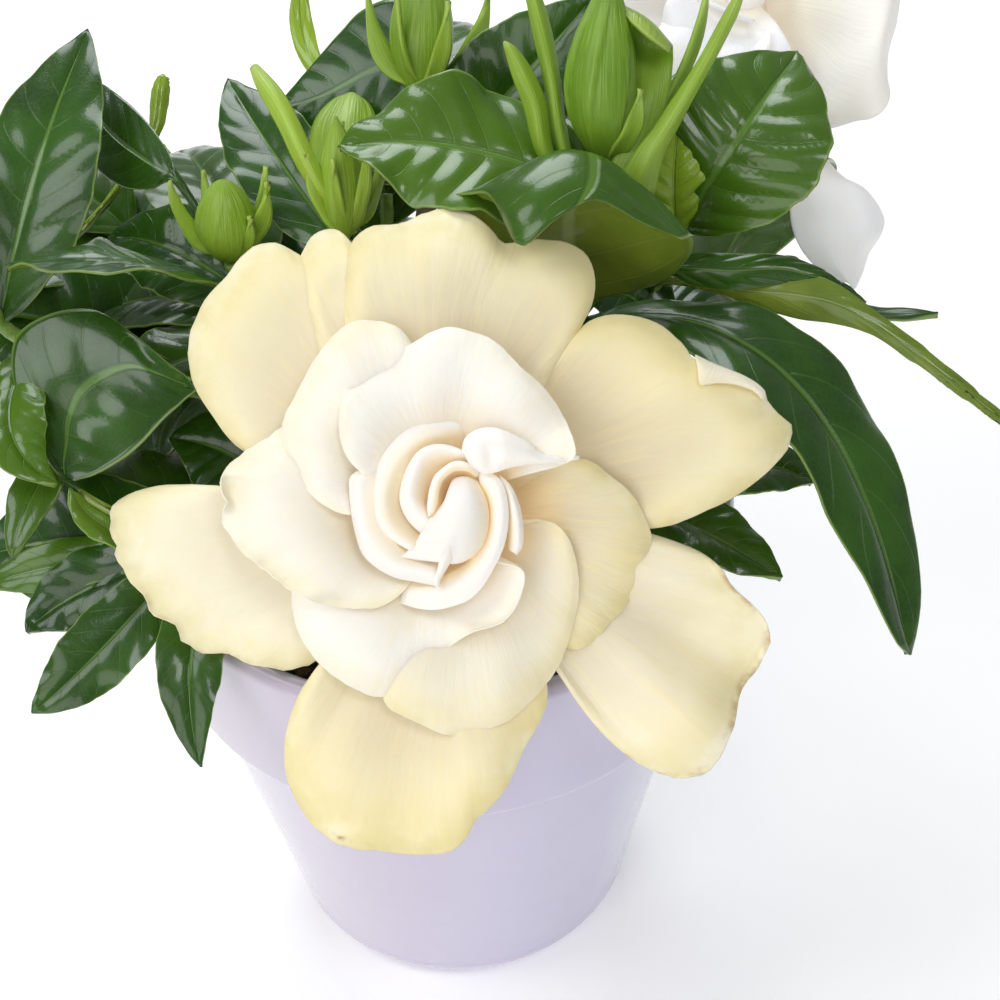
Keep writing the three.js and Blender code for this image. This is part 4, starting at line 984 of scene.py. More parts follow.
def make_calyx(name, material, place, stem_route):
    """Ribbed cup below a bloom's tube, its sepals and its stalk, in the bloom's frame."""
    foot, lead = (place.inverted() @ Vector(p) for p in beyond(stem_route))
    piece = Piece()
    (n, m), ribs = CALYX, 5
    t = TURN * np.arange(m)[None] / m
    top = TUBE_BACK - GAP
    z = np.linspace(CALYX_BACK, top, n)[:, None]
    size = np.interp(z, [CALYX_BACK, CALYX_BACK + 3, top - 2, top], [1.5, 1.9, 3.2, 3.15])
    radius = size * (1 + 0.09 * np.cos(2 * ribs * t) * ease(z, CALYX_BACK + 1, CALYX_BACK + 4))
    rings = np.stack([radius * np.cos(t), radius * np.sin(t), np.broadcast_to(z, radius.shape)], -1)
    points, faces = capped(rings, share=0.03)
    piece.add(points, faces, rib=np.tile(np.cos(2 * ribs * t[0])**8 * 0.5, n + 2))
    for k in range(ribs):
        grid, along, across = sepal_grid(360 / ribs * k, height=13, reach=9.5, half_width=1.4, foot=2.9)
        grid = grid + np.array([0, 0, top - 3])
        piece.sheet(grid, 0.8 - 0.4 * across**2, leaf_u=along, rib=across**4)
    stalk = Route([tuple(foot), tuple(lead), (0, 0, CALYX_BACK + 2)]).at(np.linspace(0, 1, n))
    piece.tube(stalk, radii=1.45, sides=12, leaf_u=0.2)
    piece.make("green_" + name, [material], name, place)


def petal(root, level, tilt, outline, **more):
    return dict(root=root, level=level, tilt=tilt, outline=outline, **more)


# How far petals fall to their tips, how much their sides lift, how steeply they leave the root
OUTER = dict(fall=7, cup=1.5, steep=3)
MIDDLE = dict(fall=1, cup=1, steep=5, vein=0.3)
# Margin of the right upper petal that is folded over: rows of (x, y, height over the petal)
FLAP = [
    [(694, 356, 0), (713, 365, 0.1), (728, 371, 0.2), (742, 377, 0.2), (754, 384, 0.2), (760, 389, 0.1),
     (763, 393, 0), (763, 398, 0)],
    [(695, 360, 0.5), (705, 371, 1.3), (722, 376, 1.6), (738, 380, 1.6), (750, 386, 1.4), (757, 391, 1.1),
     (761, 395, 0.7), (762, 399, 0.4)],
    [(697, 368, 0.5), (700, 385, 1.4), (716, 384, 1.3), (733, 385, 1.3), (744, 388, 1.1), (751, 391, 0.9),
     (757, 396, 0.7), (761, 400, 0.4)]]
# Petals seen from the front, in millimetres of the bloom's frame. A fold is a place along the outline,
# a half width, a turn in degrees and the width of the turned strip; a rib is a place, a half width and
# a height; a dent is x, y, a radius and a height; a stain is x, y and a radius.
OUTER_PETALS = [
    petal((-4.5, 3), -5, 0.5, [(-8.5, 11), (-14.5, 21), (-17.5, 31), (-19.5, 37.2), (-23, 40), (-27, 41.6),
          (-30.5, 40.6), (-34, 36), (-37.8, 31.5), (-39.6, 27), (-38.6, 19), (-35.5, 14), (-31.5, 9.5),
          (-22, 5.5), (-11, 2.5)], cream=0.75, dents=[(-30, 28, 8, 0.9), (-21, 30, 5, -0.7)]),
    petal((-5.5, 4.5), -4.2, 0.5, [(-8.5, 15.5), (-13, 28), (-13, 39), (-14.5, 42), (-17, 43.6),
          (-20, 43), (-22, 40), (-22, 36), (-20, 26.5), (-13.5, 14)], cream=0.7, dents=[(-17.5, 38, 3, 0.8)]),
    petal((0, 6.5), -2.6, 0.3, [(9.5, 12.5), (16.5, 19.5), (21, 27), (23.8, 33), (23.6, 37), (21.8, 40.5),
          (18.5, 42), (13.5, 42), (9.8, 41.4), (7.5, 44), (4.5, 46.2), (1.3, 47), (-3, 46), (-7, 44.6),
          (-11, 44.3), (-14, 41.5), (-15, 37), (-14.5, 26), (-9.5, 15.5)], cream=0.8, ruffle=0.9,
          dents=[(11, 34, 6, -0.8), (18, 36, 5, 0.7), (-2, 37, 7, 0.9), (-10, 34, 5, -0.5)]),
    petal((4.5, 3), -4.5, 0, [(19, 0), (33, -3), (43, 0.5), (50, 5), (53.5, 8.4), (54.5, 11), (54.5, 12.9),
          (52.5, 14.9), (51, 16.8), (50.6, 18.6), (46.8, 20.7), (42, 22.3), (39.2, 23.8), (37.8, 26),
          (34, 28.8),
          (28, 30.4), (23, 29.3), (16.5, 19.5), (11, 11)], cream=0.9, fall=2.5, flap=FLAP,
          dents=[(38, 19, 7, 1.0), (48, 10, 5, 0.8), (27, 14, 8, -0.8), (30, -1, 7, -2.2)]),
    petal((4.5, -3), -5.5, 0, [(9.5, -14), (19, -26.5), (25, -35), (31, -40), (37, -42), (42, -41),
          (45.2, -35), (46.5, -29), (49.5, -25), (51.2, -20), (49.5, -16), (45.5, -12), (43, -8.5), (33, -4),
          (15.5, -1.5)], cream=0.6, brown=0.7, folds=[(0.66, 0.1, 60, 1.2)],
          ribs=[(0.3, 0.07, -2.0), (0.455, 0.06, 3.2), (0.575, 0.045, -3.0), (0.68, 0.06, 1.6)],
          dents=[(38, -30, 7, 0.5)]),
    petal((-1, -4.5), -4, 0, [(-11, -17), (-18.5, -24), (-22.8, -30), (-24.6, -38), (-23.4, -45),
          (-19.5, -50), (-14.5, -53), (-7, -53.8), (1, -53.6), (3.6, -52), (5.4, -48.6), (9, -45),
          (13, -37.5), (16.5, -28), (6.5, -12.5)], cream=0.85, brown=0.1, stain=(-16, -52.5, 2.4),
          ribs=[(0.3, 0.035, -0.9), (0.62, 0.08, 1.0)],
          dents=[(-16, -38, 7, 0.9), (-4, -44, 7, -0.7), (6, -38, 6, 0.7)]),
    petal((-4, -1.5), -5.5, 0, [(-17, 1.5), (-33, 3.4), (-44, 3.6), (-49.5, 2), (-52.2, -1.5), (-51.6, -5),
          (-50.4, -9), (-46.6, -13.5), (-46, -16.5), (-42.5, -17.6), (-40, -21), (-36.6, -22.6),
          (-33, -22.8), (-29.5, -24.4), (-20.5, -24.2), (-8, -8)], cream=0.65, brown=0.3, ragged=1.0,
          ribs=[(0.35, 0.08, 1.0), (0.6, 0.06, -0.8)],
          folds=[(0.53, 0.07, 60, 1.4)], dents=[(-42, -5, 7, 0.9), (-28, -10, 8, -0.5)]),
]
MIDDLE_PETALS = [
    petal((-3, 0), 0.6, 2.4, [(-17, 11), (-22, 14), (-28, 10.6), (-33.4, 6.6), (-34.6, 4), (-33.4, 1),
          (-34.4, -1.6), (-31.5, -6), (-25, -11.4), (-19.5, -14.6), (-15, -15.4), (-8.5, -15), (-3, -9.5)],
          cream=0.25, ragged=0.6, folds=[(0.36, 0.05, 120, 1.2), (0.62, 0.1, 80, 1.3)],
          dents=[(-26, 2, 5, 0.7), (-20, -6, 5, 0.6)]),
    petal((-2.5, 3), 2.4, 1, [(-1.5, 17), (-4, 25), (-7.5, 28.8), (-13, 29.4), (-17.4, 26.5), (-21.5, 20),
          (-24.4, 14), (-24.4, 9.4), (-21.4, 3.6), (-17.5, 0.2), (-13, -1), (-8, 0)], cream=0.2,
          dents=[(-17, 14, 5, 0.8), (-12, 22, 5, 0.5)]),
    petal((0, 1.5), 4.5, 0, [(12.5, 6.5), (21, 8), (20.6, 12), (17, 18), (12, 23), (7.5, 26.8), (1.5, 28.4),
          (-4, 26.2), (-9, 22.6), (-14.6, 18.6), (-15.6, 15), (-15, 9), (-11, 4.5)], cream=0.08,
          folds=[(0.1, 0.07, 60, 1.2)], dents=[(3, 18, 6, -0.9), (-8, 14, 5, -0.5), (13, 14, 4, 0.6)]),
    petal((4.5, -1.5), -3.4, 0.8, [(14, -15.5), (20.5, -22), (26.5, -18), (30.5, -12), (32.8, -5), (31, 0.5),
          (26.6, 5.2), (22, 7.8), (9.5, 4.5)], cream=0.8, vein=1.0, throat=3.5, ruffle=0.8, crinkle=0.5,
          dents=[(25, -8, 5, 0.7)]),
    petal((-1.5, -3), -0.6, 3.2, [(-12.5, -8), (-22.5, -8.4), (-23.4, -13), (-21.5, -21), (-17, -25.8),
          (-11, -29.2), (-7, -28.6), (-2, -24), (4.5, -19.6), (10, -17.4), (13, -13), (13, -9.6), (8, -8)],
          cream=0.1, folds=[(0.12, 0.06, 70, 1.4), (0.8, 0.08, 90, 1.4)],
          dents=[(-15, -18, 6, 0.8), (2, -15, 4, -0.5)]),
    petal((3, -2.6), -1.5, 0.8, [(-3, -17), (-9, -29.5), (-4, -33.4), (3, -35.4), (9.5, -33.6), (16, -28),
          (20.2, -20), (21.6, -11), (20.2, -5), (17.2, -2), (12, -2.6)], cream=0.45,
          dents=[(8, -27, 6, 0.8), (16, -14, 5, -0.6), (15, -2, 3.5, -1.6)]),
]


def rolled_margin(p, length, start, along, across):
    """Distance from the root and lift of a petal whose outermost strip turns back or folds up."""
    turn = np.full(across.shape, math.radians(ROLL))
    strip = np.minimum(STRIP, 0.45 * (length - start))
    for place, half, degrees, width in p.get("folds", ()):
        share = np.exp(-(np.abs(across - place) / half)**4)
        turn = turn * (1 - share) + math.radians(degrees) * share
        strip = strip * (1 - share) + width * share
    least = 0.02
    turn = np.where(np.abs(turn) < least, least, turn)
    scale = turn / np.sin(np.clip(turn, -math.pi / 2, math.pi / 2))
    flat = length - strip
    share = np.clip((start + (length - start) * along - flat) / strip, 0, 1)
    out = np.where(share > 0, strip / turn * np.sin(turn * share) * scale, 0)
    up = strip / np.abs(turn) * (1 - np.cos(turn * share)) * scale * np.sign(turn)
    return np.minimum(start + (length - start) * along, flat) + out, up


def petal_grid(p, shape, n, m, seed):
    """Points of a petal, fanned out from its root to its outline."""
    along = (1 - (1 - np.linspace(0, 1, n))**1.3)[:, None]
    across = np.linspace(0, 1, m)
    root = np.array(p["root"], float)
    ray = Route(p["outline"]).spaced(across)[:, :2] - root
    length = np.linalg.norm(ray, axis=1)
    reach = np.linalg.norm(np.array(p["outline"], float) - root, axis=1).max()
    swing = (2 * across - 1)[None]
    phase = np.random.default_rng(seed).uniform(0, TURN, 4)

    def wave(turns, k, shift=0.0):
        return np.sin(TURN * turns * across + phase[k] + shift)

    jag = 1 + 0.004 * wave(7, 0) \
        + 0.0018 * (1 + 3 * p.get("ragged", 0)) * wave(19, 1, 2 * np.sin(TURN * 5 * across))
    distance, up = rolled_margin(p, (length * jag)[None], PETAL_START, along, across[None])
    share = np.clip((distance - PETAL_START) / (reach - PETAL_START), 0, 1)
    rise = (p["level"] - SEAT) * (1 - share)**shape["steep"]
    z = p["level"] - rise - p.get("fall", shape["fall"]) * share**2 + up
    z = z + along**2 * (shape["cup"] * swing**2 + p["tilt"] * swing)
    z = z + p.get("ruffle", 1.0) * (wave(1.7, 2) + 0.45 * wave(4.3, 3)) * along**3
    z = z + p.get("crinkle", 0.22) * wave(11, 1) * wave(2.6, 0) * along**10
    z = z + 0.9 * wave(3.3, 0, 1.5 * along) * wave(1.3, 1) * along * (1.2 - along)
    xy = root + (ray / length[:, None])[None] * distance[..., None]
    for place, half, height in p.get("ribs", ()):
        z = z + height * np.exp(-((across[None] - place) / half)**2) * ease(along, 0.3, 0.75)
    for x, y, radius, height in p.get("dents", ()):
        z = z + height * np.exp(-((xy[..., 0] - x)**2 + (xy[..., 1] - y)**2) / radius**2)
    return facing(xy[..., 0], xy[..., 1], z), along, swing


def petal_thickness(along, swing):
    """Thinner towards the free margin and the sides."""
    return 0.2 + 0.5 * ease(1 - along, 0, 0.1) * ease(1 - np.abs(swing), 0, 0.05)


def bloom_place():
    tilt, roll = math.radians(BLOOM["tilt"]), math.radians(BLOOM["roll"])
    move = Matrix.Translation(Vector(BLOOM["centre"]))
    return move @ Matrix.Rotation(tilt, 4, "X") @ Matrix.Rotation(roll, 4, "Z")


def second_place():
    turn = Vector((0, 0, 1)).rotation_difference(Vector(SECOND["lean"]).normalized())
    return Matrix.Translation(Vector(SECOND["centre"])) @ turn.to_matrix().to_4x4()


def core(piece):
    """Corolla tube that widens to the cup where the petals grow."""
    profile = rounded([(AXIS, TUBE_BACK), (2, TUBE_BACK), (2.4, CORE_TOP - 11), (7, CORE_TOP - 7),
                       (14, CORE_TOP - 2.4), (13, CORE_TOP), (AXIS, CORE_TOP)], 1.5)
    points, faces = lathe(profile, CORE_SEGMENTS)
    # Painted warm shade on the top of the tube, deep in the throat
    piece.add(points, faces, cream=0.5, warm=0.9 * (points[:, 2] > CORE_TOP - 3))


def add_petal(piece, p, shape, size, seed):
    grid, along, swing = petal_grid(p, shape, *size, seed)
    x, y = grid[..., 0], grid[..., 1]
    throat = np.hypot(x - THROAT[0], y - THROAT[1])
    wide = p.get("throat", 0.0)
    # Painted warm shade round the throat, fading out along the petal
    warm = 0.85 * (1 - ease(throat, 8 + wide, 14 + wide)) * (1 - ease(along, 0.3, 0.7 + 0.1 * wide))
    edge = np.maximum(ease(along, 0.76, 1), ease(np.abs(swing), 0.84, 1))
    brown = p.get("brown", 0.0)
    if "stain" in p:
        stain_x, stain_y, radius = p["stain"]
        brown = brown + 4 * np.exp(-((x - stain_x)**2 + (y - stain_y)**2) / radius**2)
    piece.sheet(grid, petal_thickness(along, swing), reach=along, swing=swing + seed,
                cream=p.get("cream", 0.5), warm=warm, edge=edge, vein=p.get("vein", shape.get("vein", 0.5)),
                brown=brown)
    if "flap" in p:
        n, m = FOLD
        fold = rows_grid(over_petal(grid, p["flap"]), n, m)
        piece.sheet(fold, 0.3, reach=0.8, swing=np.linspace(-1, 1, m)[None], cream=0.55, vein=0.1)


# Close-up of the picture frame: its corner and zoom, the bloom's centre, millimetres to a pixel
CLOSE_UP = dict(corner=(330, 400), zoom=5.6, centre=(440, 510), pixel=0.1564)
# Heart of the bloom, drawn in the close-up: each sheet is rows of (across, down, height), from its free
# rim over its crest down to its hidden foot. Its painted warm shade, peach in its crevices, begins at start
# and on a soft rim as well.
HEART = [
    # left white petal, rolled outwards
    dict(warm=0.5, rows=[
        [(146, 404, 1.2), (112, 440, 1.2), (108, 520, 1.2), (118, 620, 1.2), (142, 750, 1.2), (186, 872, 1.2),
         (270, 950, 1.2), (370, 1000, 1.4), (480, 1022, 1.8), (598, 1045, 2.4)],
        [(205, 395, 1.8), (170, 465, 2.7), (158, 560, 3.2), (170, 650, 3.4), (200, 760, 3.4), (260, 850, 3.4),
         (350, 915, 3.3), (450, 950, 3.3), (530, 962, 3.4), (602, 990, 3.4)],
        [(265, 400, 1.7), (232, 500, 2.9), (222, 600, 3.5), (240, 680, 3.6), (280, 760, 3.5), (340, 830, 3.4),
         (410, 890, 2.8), (480, 905, 2.5), (550, 915, 2.3), (620, 930, 2.3)],
        [(330, 440, 1.6), (300, 530, 2.6), (290, 620, 3.2), (310, 690, 3.0), (350, 760, 2.3),
         (400, 810, 1.8), (460, 850, 1.4), (520, 870, 1), (570, 880, 0.6), (620, 880, 0.4)],
        [(400, 500, 0.6), (380, 580, 1), (385, 640, 1.2), (400, 690, 0.4), (430, 740, -1), (470, 780, -1),
         (510, 805, -1), (550, 820, -1), (590, 830, -1), (630, 835, -1)]]),
    # second turn, from the top round the left
    dict(warm=0.8, soft=1, rows=[
        [(760, 110, 1.9), (640, 105, 1.9), (515, 112, 1.7), (400, 158, 1.5), (308, 244, 1.5), (256, 358, 1.1),
         (236, 470, 1.2), (232, 600, 1.6), (258, 700, 2), (335, 780, 2.6), (446, 842, 2.8), (520, 885, 2)],
        [(765, 138, 1.6), (640, 140, 2.1), (530, 160, 2.1), (432, 207, 2.1), (352, 288, 2.2), (296, 390, 2.5),
         (262, 485, 3.2), (252, 595, 3.4), (272, 688, 3.5), (340, 768, 3.6), (446, 836, 3.5),
         (520, 878, 2.8)],
        [(768, 178, 0.7), (640, 186, 2.7), (545, 208, 3.3), (462, 254, 3.7), (392, 327, 4), (340, 414, 4.3),
         (312, 500, 4.7), (305, 590, 4.7), (325, 670, 4.5), (380, 745, 4.2), (460, 810, 3.9),
         (535, 850, 3.2)],
        [(772, 235, -0.9), (645, 235, 1.8), (560, 250, 2.8), (490, 295, 3.1), (432, 370, 3.4),
         (395, 450, 3.6),
         (375, 530, 3.6), (375, 610, 3.5), (400, 680, 3.4), (440, 735, 3.3), (480, 780, 3.3), (550, 820, 3)],
        [(775, 290, -2.5), (650, 290, 0.6), (575, 305, 1.6), (520, 350, 1.9), (475, 420, 2.2),
         (445, 490, 2.3),
         (430, 550, 2), (430, 615, 2), (450, 670, 2), (475, 715, 2), (500, 752, 2.2), (565, 795, 2.2)],
        [(775, 350, -3.5), (660, 350, -0.6), (595, 370, 0.4), (548, 410, 0.8), (512, 460, 1), (490, 520, 1),
         (480, 570, 0), (480, 620, 0), (495, 660, 0), (520, 695, -2), (545, 730, -1), (600, 780, -1)]]),
    # third turn, its pale rim seen at the top and its lip at the left
    dict(warm=0.75, rows=[
        [(775, 300, 4), (695, 266, 4.2), (620, 252, 4.4), (550, 262, 4.5), (492, 297, 4.4), (447, 360, 4),
         (412, 440, 3.9), (393, 530, 3.9), (400, 600, 3.9), (440, 680, 3.8), (505, 745, 3.6), (575, 800, 3)],
        [(778, 318, 4.4), (695, 290, 4.8), (620, 278, 5), (555, 290, 5.1), (510, 318, 5.1), (480, 380, 5.1),
         (455, 460, 5.1), (446, 535, 5), (468, 590, 4.9), (505, 640, 4.6), (550, 690, 4.2), (600, 745, 3.4)],
        [(755, 350, 3.4), (700, 335, 4), (640, 335, 4.3), (585, 355, 4.3), (550, 390, 4.3), (525, 440, 4.3),
         (510, 500, 4.3), (508, 550, 4.2), (520, 590, 4.2), (545, 625, 4.1), (572, 660, 3.9),
         (625, 715, 3.2)],
        [(755, 390, 1), (710, 380, 1.6), (660, 385, 2), (620, 410, 2.2), (590, 445, 2.2), (570, 490, 2.2),
         (560, 540, 2.2), (560, 575, 2), (565, 600, 2), (580, 622, 2), (600, 645, 2.2), (645, 700, 2)],
        [(755, 440, 0), (720, 430, 0), (690, 435, 0), (660, 455, 0), (640, 485, 0), (625, 520, 0),
         (615, 555, 0), (615, 580, 0), (620, 600, 0), (630, 620, -2), (645, 640, -2), (680, 690, -2)]]),
    # innermost turn, close round the wrapped centre
    dict(warm=1.0, start=0.05, rows=[
        [(845, 405, 4), (790, 362, 5), (735, 345, 5.5), (690, 350, 5.7), (635, 385, 5.9), (590, 430, 5.9),
         (565, 490, 5.9), (552, 560, 5.7), (548, 610, 5.5), (555, 655, 5.3)],
        [(830, 425, 4), (785, 390, 5), (735, 380, 5.6), (695, 385, 5.9), (655, 410, 6.1), (620, 445, 6.2),
         (600, 500, 6.2), (590, 560, 6), (580, 610, 5.7), (562, 652, 5.4)],
        [(815, 450, 3), (780, 425, 3.8), (740, 415, 4.2), (705, 418, 4.5), (670, 435, 4.7), (645, 465, 4.7),
         (630, 510, 4.7), (622, 555, 4.7), (610, 600, 4.7), (575, 648, 4.6)],
        [(800, 490, 1), (775, 470, 1.6), (745, 460, 2), (715, 462, 2.2), (690, 475, 2.4), (672, 500, 2.4),
         (660, 530, 2.4), (650, 560, 2.4), (640, 590, 2.4), (610, 630, 2.4)],
        [(790, 530, 0), (770, 515, 0), (748, 508, 0), (725, 510, 0), (708, 520, 0), (695, 540, 0),
         (685, 560, 0), (678, 580, 0), (668, 600, 0), (645, 625, 0)]]),
    # wrapped centre, from the free edge of its left lobe over its crest down its right side
    dict(warm=0.96, start=0.44, rows=[
        [(652, 575, 4.4), (602, 618, 4.7), (556, 680, 4.6), (511, 750, 4.2), (466, 822, 3.6), (398, 884, 3)],
        [(662, 530, 5.2), (640, 612, 6), (606, 690, 6), (570, 770, 5.6), (530, 842, 4.8), (480, 896, 3.6)],
        [(692, 450, 4.8), (705, 560, 6.5), (702, 670, 7), (690, 770, 6.8), (660, 850, 6), (612, 912, 4.6)],
        [(755, 432, 4.4), (795, 540, 6.1), (806, 655, 6.6), (790, 765, 6.3), (755, 850, 5.5), (706, 920, 4)],
        [(815, 450, 2.6), (862, 545, 3.9), (882, 650, 4.4), (868, 765, 4.2), (832, 845, 3.5),
         (780, 893, 2.6)],
        [(800, 490, -1), (848, 570, -0.4), (866, 655, -0.2), (852, 750, -0.4), (815, 820, -0.8),
         (770, 860, -1)],
        [(780, 550, -8), (800, 600, -8), (812, 660, -8), (802, 730, -8), (780, 780, -8), (745, 815, -8)]]),
    # the fold that runs down from its crest and ends in a spike
    dict(warm=0.1, rows=[
        [(690, 720, 6.3), (660, 790, 6.1), (636, 850, 5.7), (616, 905, 5.1), (602, 960, 4.4),
         (582, 1014, 3.7),
         (598, 1052, 3)],
        [(706, 735, 6.7), (684, 800, 6.5), (662, 860, 6), (640, 915, 5.2), (620, 965, 4.5), (602, 1014, 3.8),
         (600, 1054, 3)],
        [(722, 750, 6.5), (712, 815, 6.2), (698, 872, 5.4), (668, 922, 4.6), (640, 965, 4), (616, 1008, 3.5),
         (602, 1055, 2.9)]]),
    # long crescent round the right and the bottom
    dict(warm=0.93, start=0.3, rows=[
        [(830, 400, 3.6), (900, 412, 4.1), (955, 450, 4.5), (990, 530, 4.7), (1004, 640, 4.7),
         (995, 750, 4.5),
         (968, 850, 4.3), (920, 950, 4.1), (850, 1060, 3.7), (780, 1125, 3.3), (690, 1160, 2.9),
         (590, 1180, 2.1), (490, 1172, 1.0), (385, 1140, -1.5)],
        [(835, 430, 3.6), (890, 445, 4.3), (930, 485, 4.8), (955, 555, 5), (962, 650, 5), (952, 745, 4.8),
         (925, 840, 4.5), (880, 925, 4.2), (815, 1010, 3.8), (745, 1065, 3.4), (665, 1100, 2.9),
         (580, 1118, 2.2), (495, 1112, 1.1), (400, 1090, -1.4)],
        [(840, 470, 3), (875, 495, 3.6), (900, 540, 3.9), (915, 600, 4), (916, 670, 4), (905, 745, 3.8),
         (880, 820, 3.5), (835, 890, 3.2), (775, 950, 2.8), (710, 995, 2.3), (640, 1025, 1.8),
         (570, 1040, 1.2),
         (500, 1042, 0.1), (420, 1030, -1.8)],
        [(835, 520, 1.4), (860, 545, 1.8), (875, 590, 2), (882, 640, 2), (880, 690, 2), (870, 745, 1.8),
         (845, 800, 1.5), (805, 850, 1.2), (755, 895, 0.8), (700, 930, 0.4), (640, 955, 0), (580, 970, -0.4),
         (520, 975, -1.4), (450, 975, -2.5)],
        [(820, 570, -1), (835, 600, -1), (842, 640, -1), (845, 680, -1), (838, 720, -1), (822, 760, -1),
         (795, 800, -1), (760, 830, -1), (715, 855, -1), (670, 875, -1), (620, 890, -1), (570, 900, -1),
         (520, 905, -1), (480, 905, -1)]]),
    # rolled edge like a finger, right of the crescent
    dict(warm=0.7, rows=[
        [(955, 425, 3), (1010, 480, 3.4), (1050, 560, 3.6), (1075, 650, 3.6), (1084, 750, 3.2),
         (1075, 830, 2.8), (1045, 872, 2.2)],
        [(950, 450, 3), (995, 500, 3.8), (1028, 575, 4.4), (1048, 660, 4.5), (1055, 750, 4.2),
         (1048, 820, 3.6), (1030, 858, 2.8)],
        [(955, 480, 2.4), (985, 530, 3.2), (1005, 600, 3.6), (1015, 670, 3.7), (1018, 750, 3.4),
         (1015, 810, 2.8), (1010, 850, 2)],
        [(955, 520, -1), (980, 570, -1), (992, 620, -1), (1000, 680, -1), (1002, 740, -1), (1000, 790, -1),
         (998, 830, -1)],
        [(945, 560, -3), (965, 600, -3), (975, 640, -3), (982, 690, -3), (985, 740, -3), (985, 780, -3),
         (984, 810, -3)]]),
    # curled white lip of the top petal
    dict(warm=0.0, rows=[
        [(742, 300, 4.6), (758, 225, 5.4), (810, 178, 6), (895, 158, 6.4), (965, 170, 6.4), (1060, 212, 6),
         (1120, 245, 5.6), (1160, 290, 5.2), (1260, 320, 4.8), (1400, 318, 3.6)],
        [(752, 305, 6), (785, 255, 7.6), (840, 235, 8.2), (910, 232, 8.2), (980, 240, 8.2), (1060, 265, 7.6),
         (1120, 285, 7), (1175, 310, 6.2), (1270, 330, 5.4), (1400, 323, 3.7)],
        [(765, 320, 6.2), (800, 315, 7.8), (850, 320, 8), (905, 315, 7.6), (975, 315, 8), (1060, 322, 7.4),
         (1125, 330, 6.8), (1185, 340, 6.2), (1280, 340, 5.4), (1400, 326, 3.7)],
        [(775, 340, 5.2), (810, 372, 6), (850, 400, 6.2), (885, 408, 6.2), (940, 396, 6.4), (1010, 374, 6.2),
         (1100, 360, 5.8), (1200, 352, 5.4), (1300, 342, 5), (1400, 328, 3.6)],
        [(790, 335, 4), (825, 365, 4.2), (860, 385, 4.4), (890, 390, 4.4), (940, 380, 4.6), (1010, 362, 4.6),
         (1100, 350, 4.6), (1200, 345, 4.6), (1300, 338, 4.4), (1400, 328, 3.5)]]),
]


def in_close_up(x, y, z):
    """Points of the bloom's frame at a spot of the close-up and a height."""
    (left, top), zoom = CLOSE_UP["corner"], CLOSE_UP["zoom"]
    return facing(*in_bloom(left + x / zoom, top + y / zoom), z)


def in_bloom(x, y):
    """Millimetres to the right of the bloom's centre and above it, from the picture frame's measures."""
    middle, pixel = CLOSE_UP["centre"], CLOSE_UP["pixel"]
    return (x - middle[0]) * pixel, (middle[1] - y) * pixel


def over_petal(grid, rows):
    """Rows of the picture frame laid over a petal at their heights over it."""
    flat = grid.reshape(-1, 3)
    placed = []
    for row in rows:
        x, y, over = np.array(row, float).T
        across, up = in_bloom(x, y)
        near = [np.argmin(np.hypot(flat[:, 0] - a, flat[:, 1] - b)) for a, b in zip(across, up)]
        placed.append(facing(across, up, flat[near, 2] + over))
    return placed


def make_main_bloom(material):
    place = bloom_place()
    outer = Piece()
    core(outer)
    for k, p in enumerate(OUTER_PETALS):
        add_petal(outer, p, OUTER, PETAL, OUTER_SEED + k)
    outer.make("front_outer_petals", [material], "bloom_front", place)
    inner = Piece()
    for k, p in enumerate(MIDDLE_PETALS):
        add_petal(inner, p, MIDDLE, PETAL, MIDDLE_SEED + k)
    n, m = HEART_SHEET
    deep, swing = np.linspace(0, 1, n)[:, None], np.linspace(-1, 1, m)[None]
    thickness = 0.2 + 0.3 * ease(1 - np.abs(swing), 0, 0.08) * ease(deep, 0, 0.25)
    for k, turn in enumerate(HEART):
        rows = [in_close_up(*np.array(row, float).T) for row in turn["rows"]]
        low = turn.get("start", 0.2)
        # Painted warm shade deep in each sheet and, on a soft sheet, along its rim where it tucks under the
        # petal below
        soft = 0.7 * ease(0.12 - deep, 0, 0.12) * turn.get("soft", 0)
        warm = turn["warm"] * np.maximum(ease(deep, low, low + 0.35), soft)
        # Deeper rows count as nearer the root and so take its darker colours: painted shade deep in the heart
        inner.sheet(rows_grid(rows, n, m)[:, ::-1], thickness, reach=0.95 - 0.6 * deep, swing=swing + k,
                    warm=warm)
    inner.make("front_inner_petals", [material], "bloom_front", place)


# Outline of a hidden petal of the back bloom, its reach being 1
PETAL_OUTLINE = [(0.2, -0.16), (0.5, -0.32), (0.82, -0.3), (0.98, -0.12), (1, 0.08), (0.9, 0.28), (0.6, 0.34),
                 (0.2, 0.16)]
WHORLS = [dict(count=6, turn=-58, reach=37, level=-4, fall=13, tilt=1, cup=2, steep=3),
          dict(count=5, turn=-42, reach=30, level=1, fall=2, tilt=1.4, cup=1.5, steep=4)]
# (whorl, place) of the petals that drawn ones take the place of
DRAWN_INSTEAD = {(0, 0), (0, 1), (1, 0)}
# Shells round the back bloom's heart: start and sweep in degrees, inner and outer radius, rim height
SHELLS = [(268, 108, 12.4, 15, 3.6), (233, 163, 7.8, 13.8, 4), (200, 150, 4.6, 9.8, 4.4),
          (90, 200, 2.2, 7.4, 4.8), (310, 170, 1.6, 4.4, 5.2)]

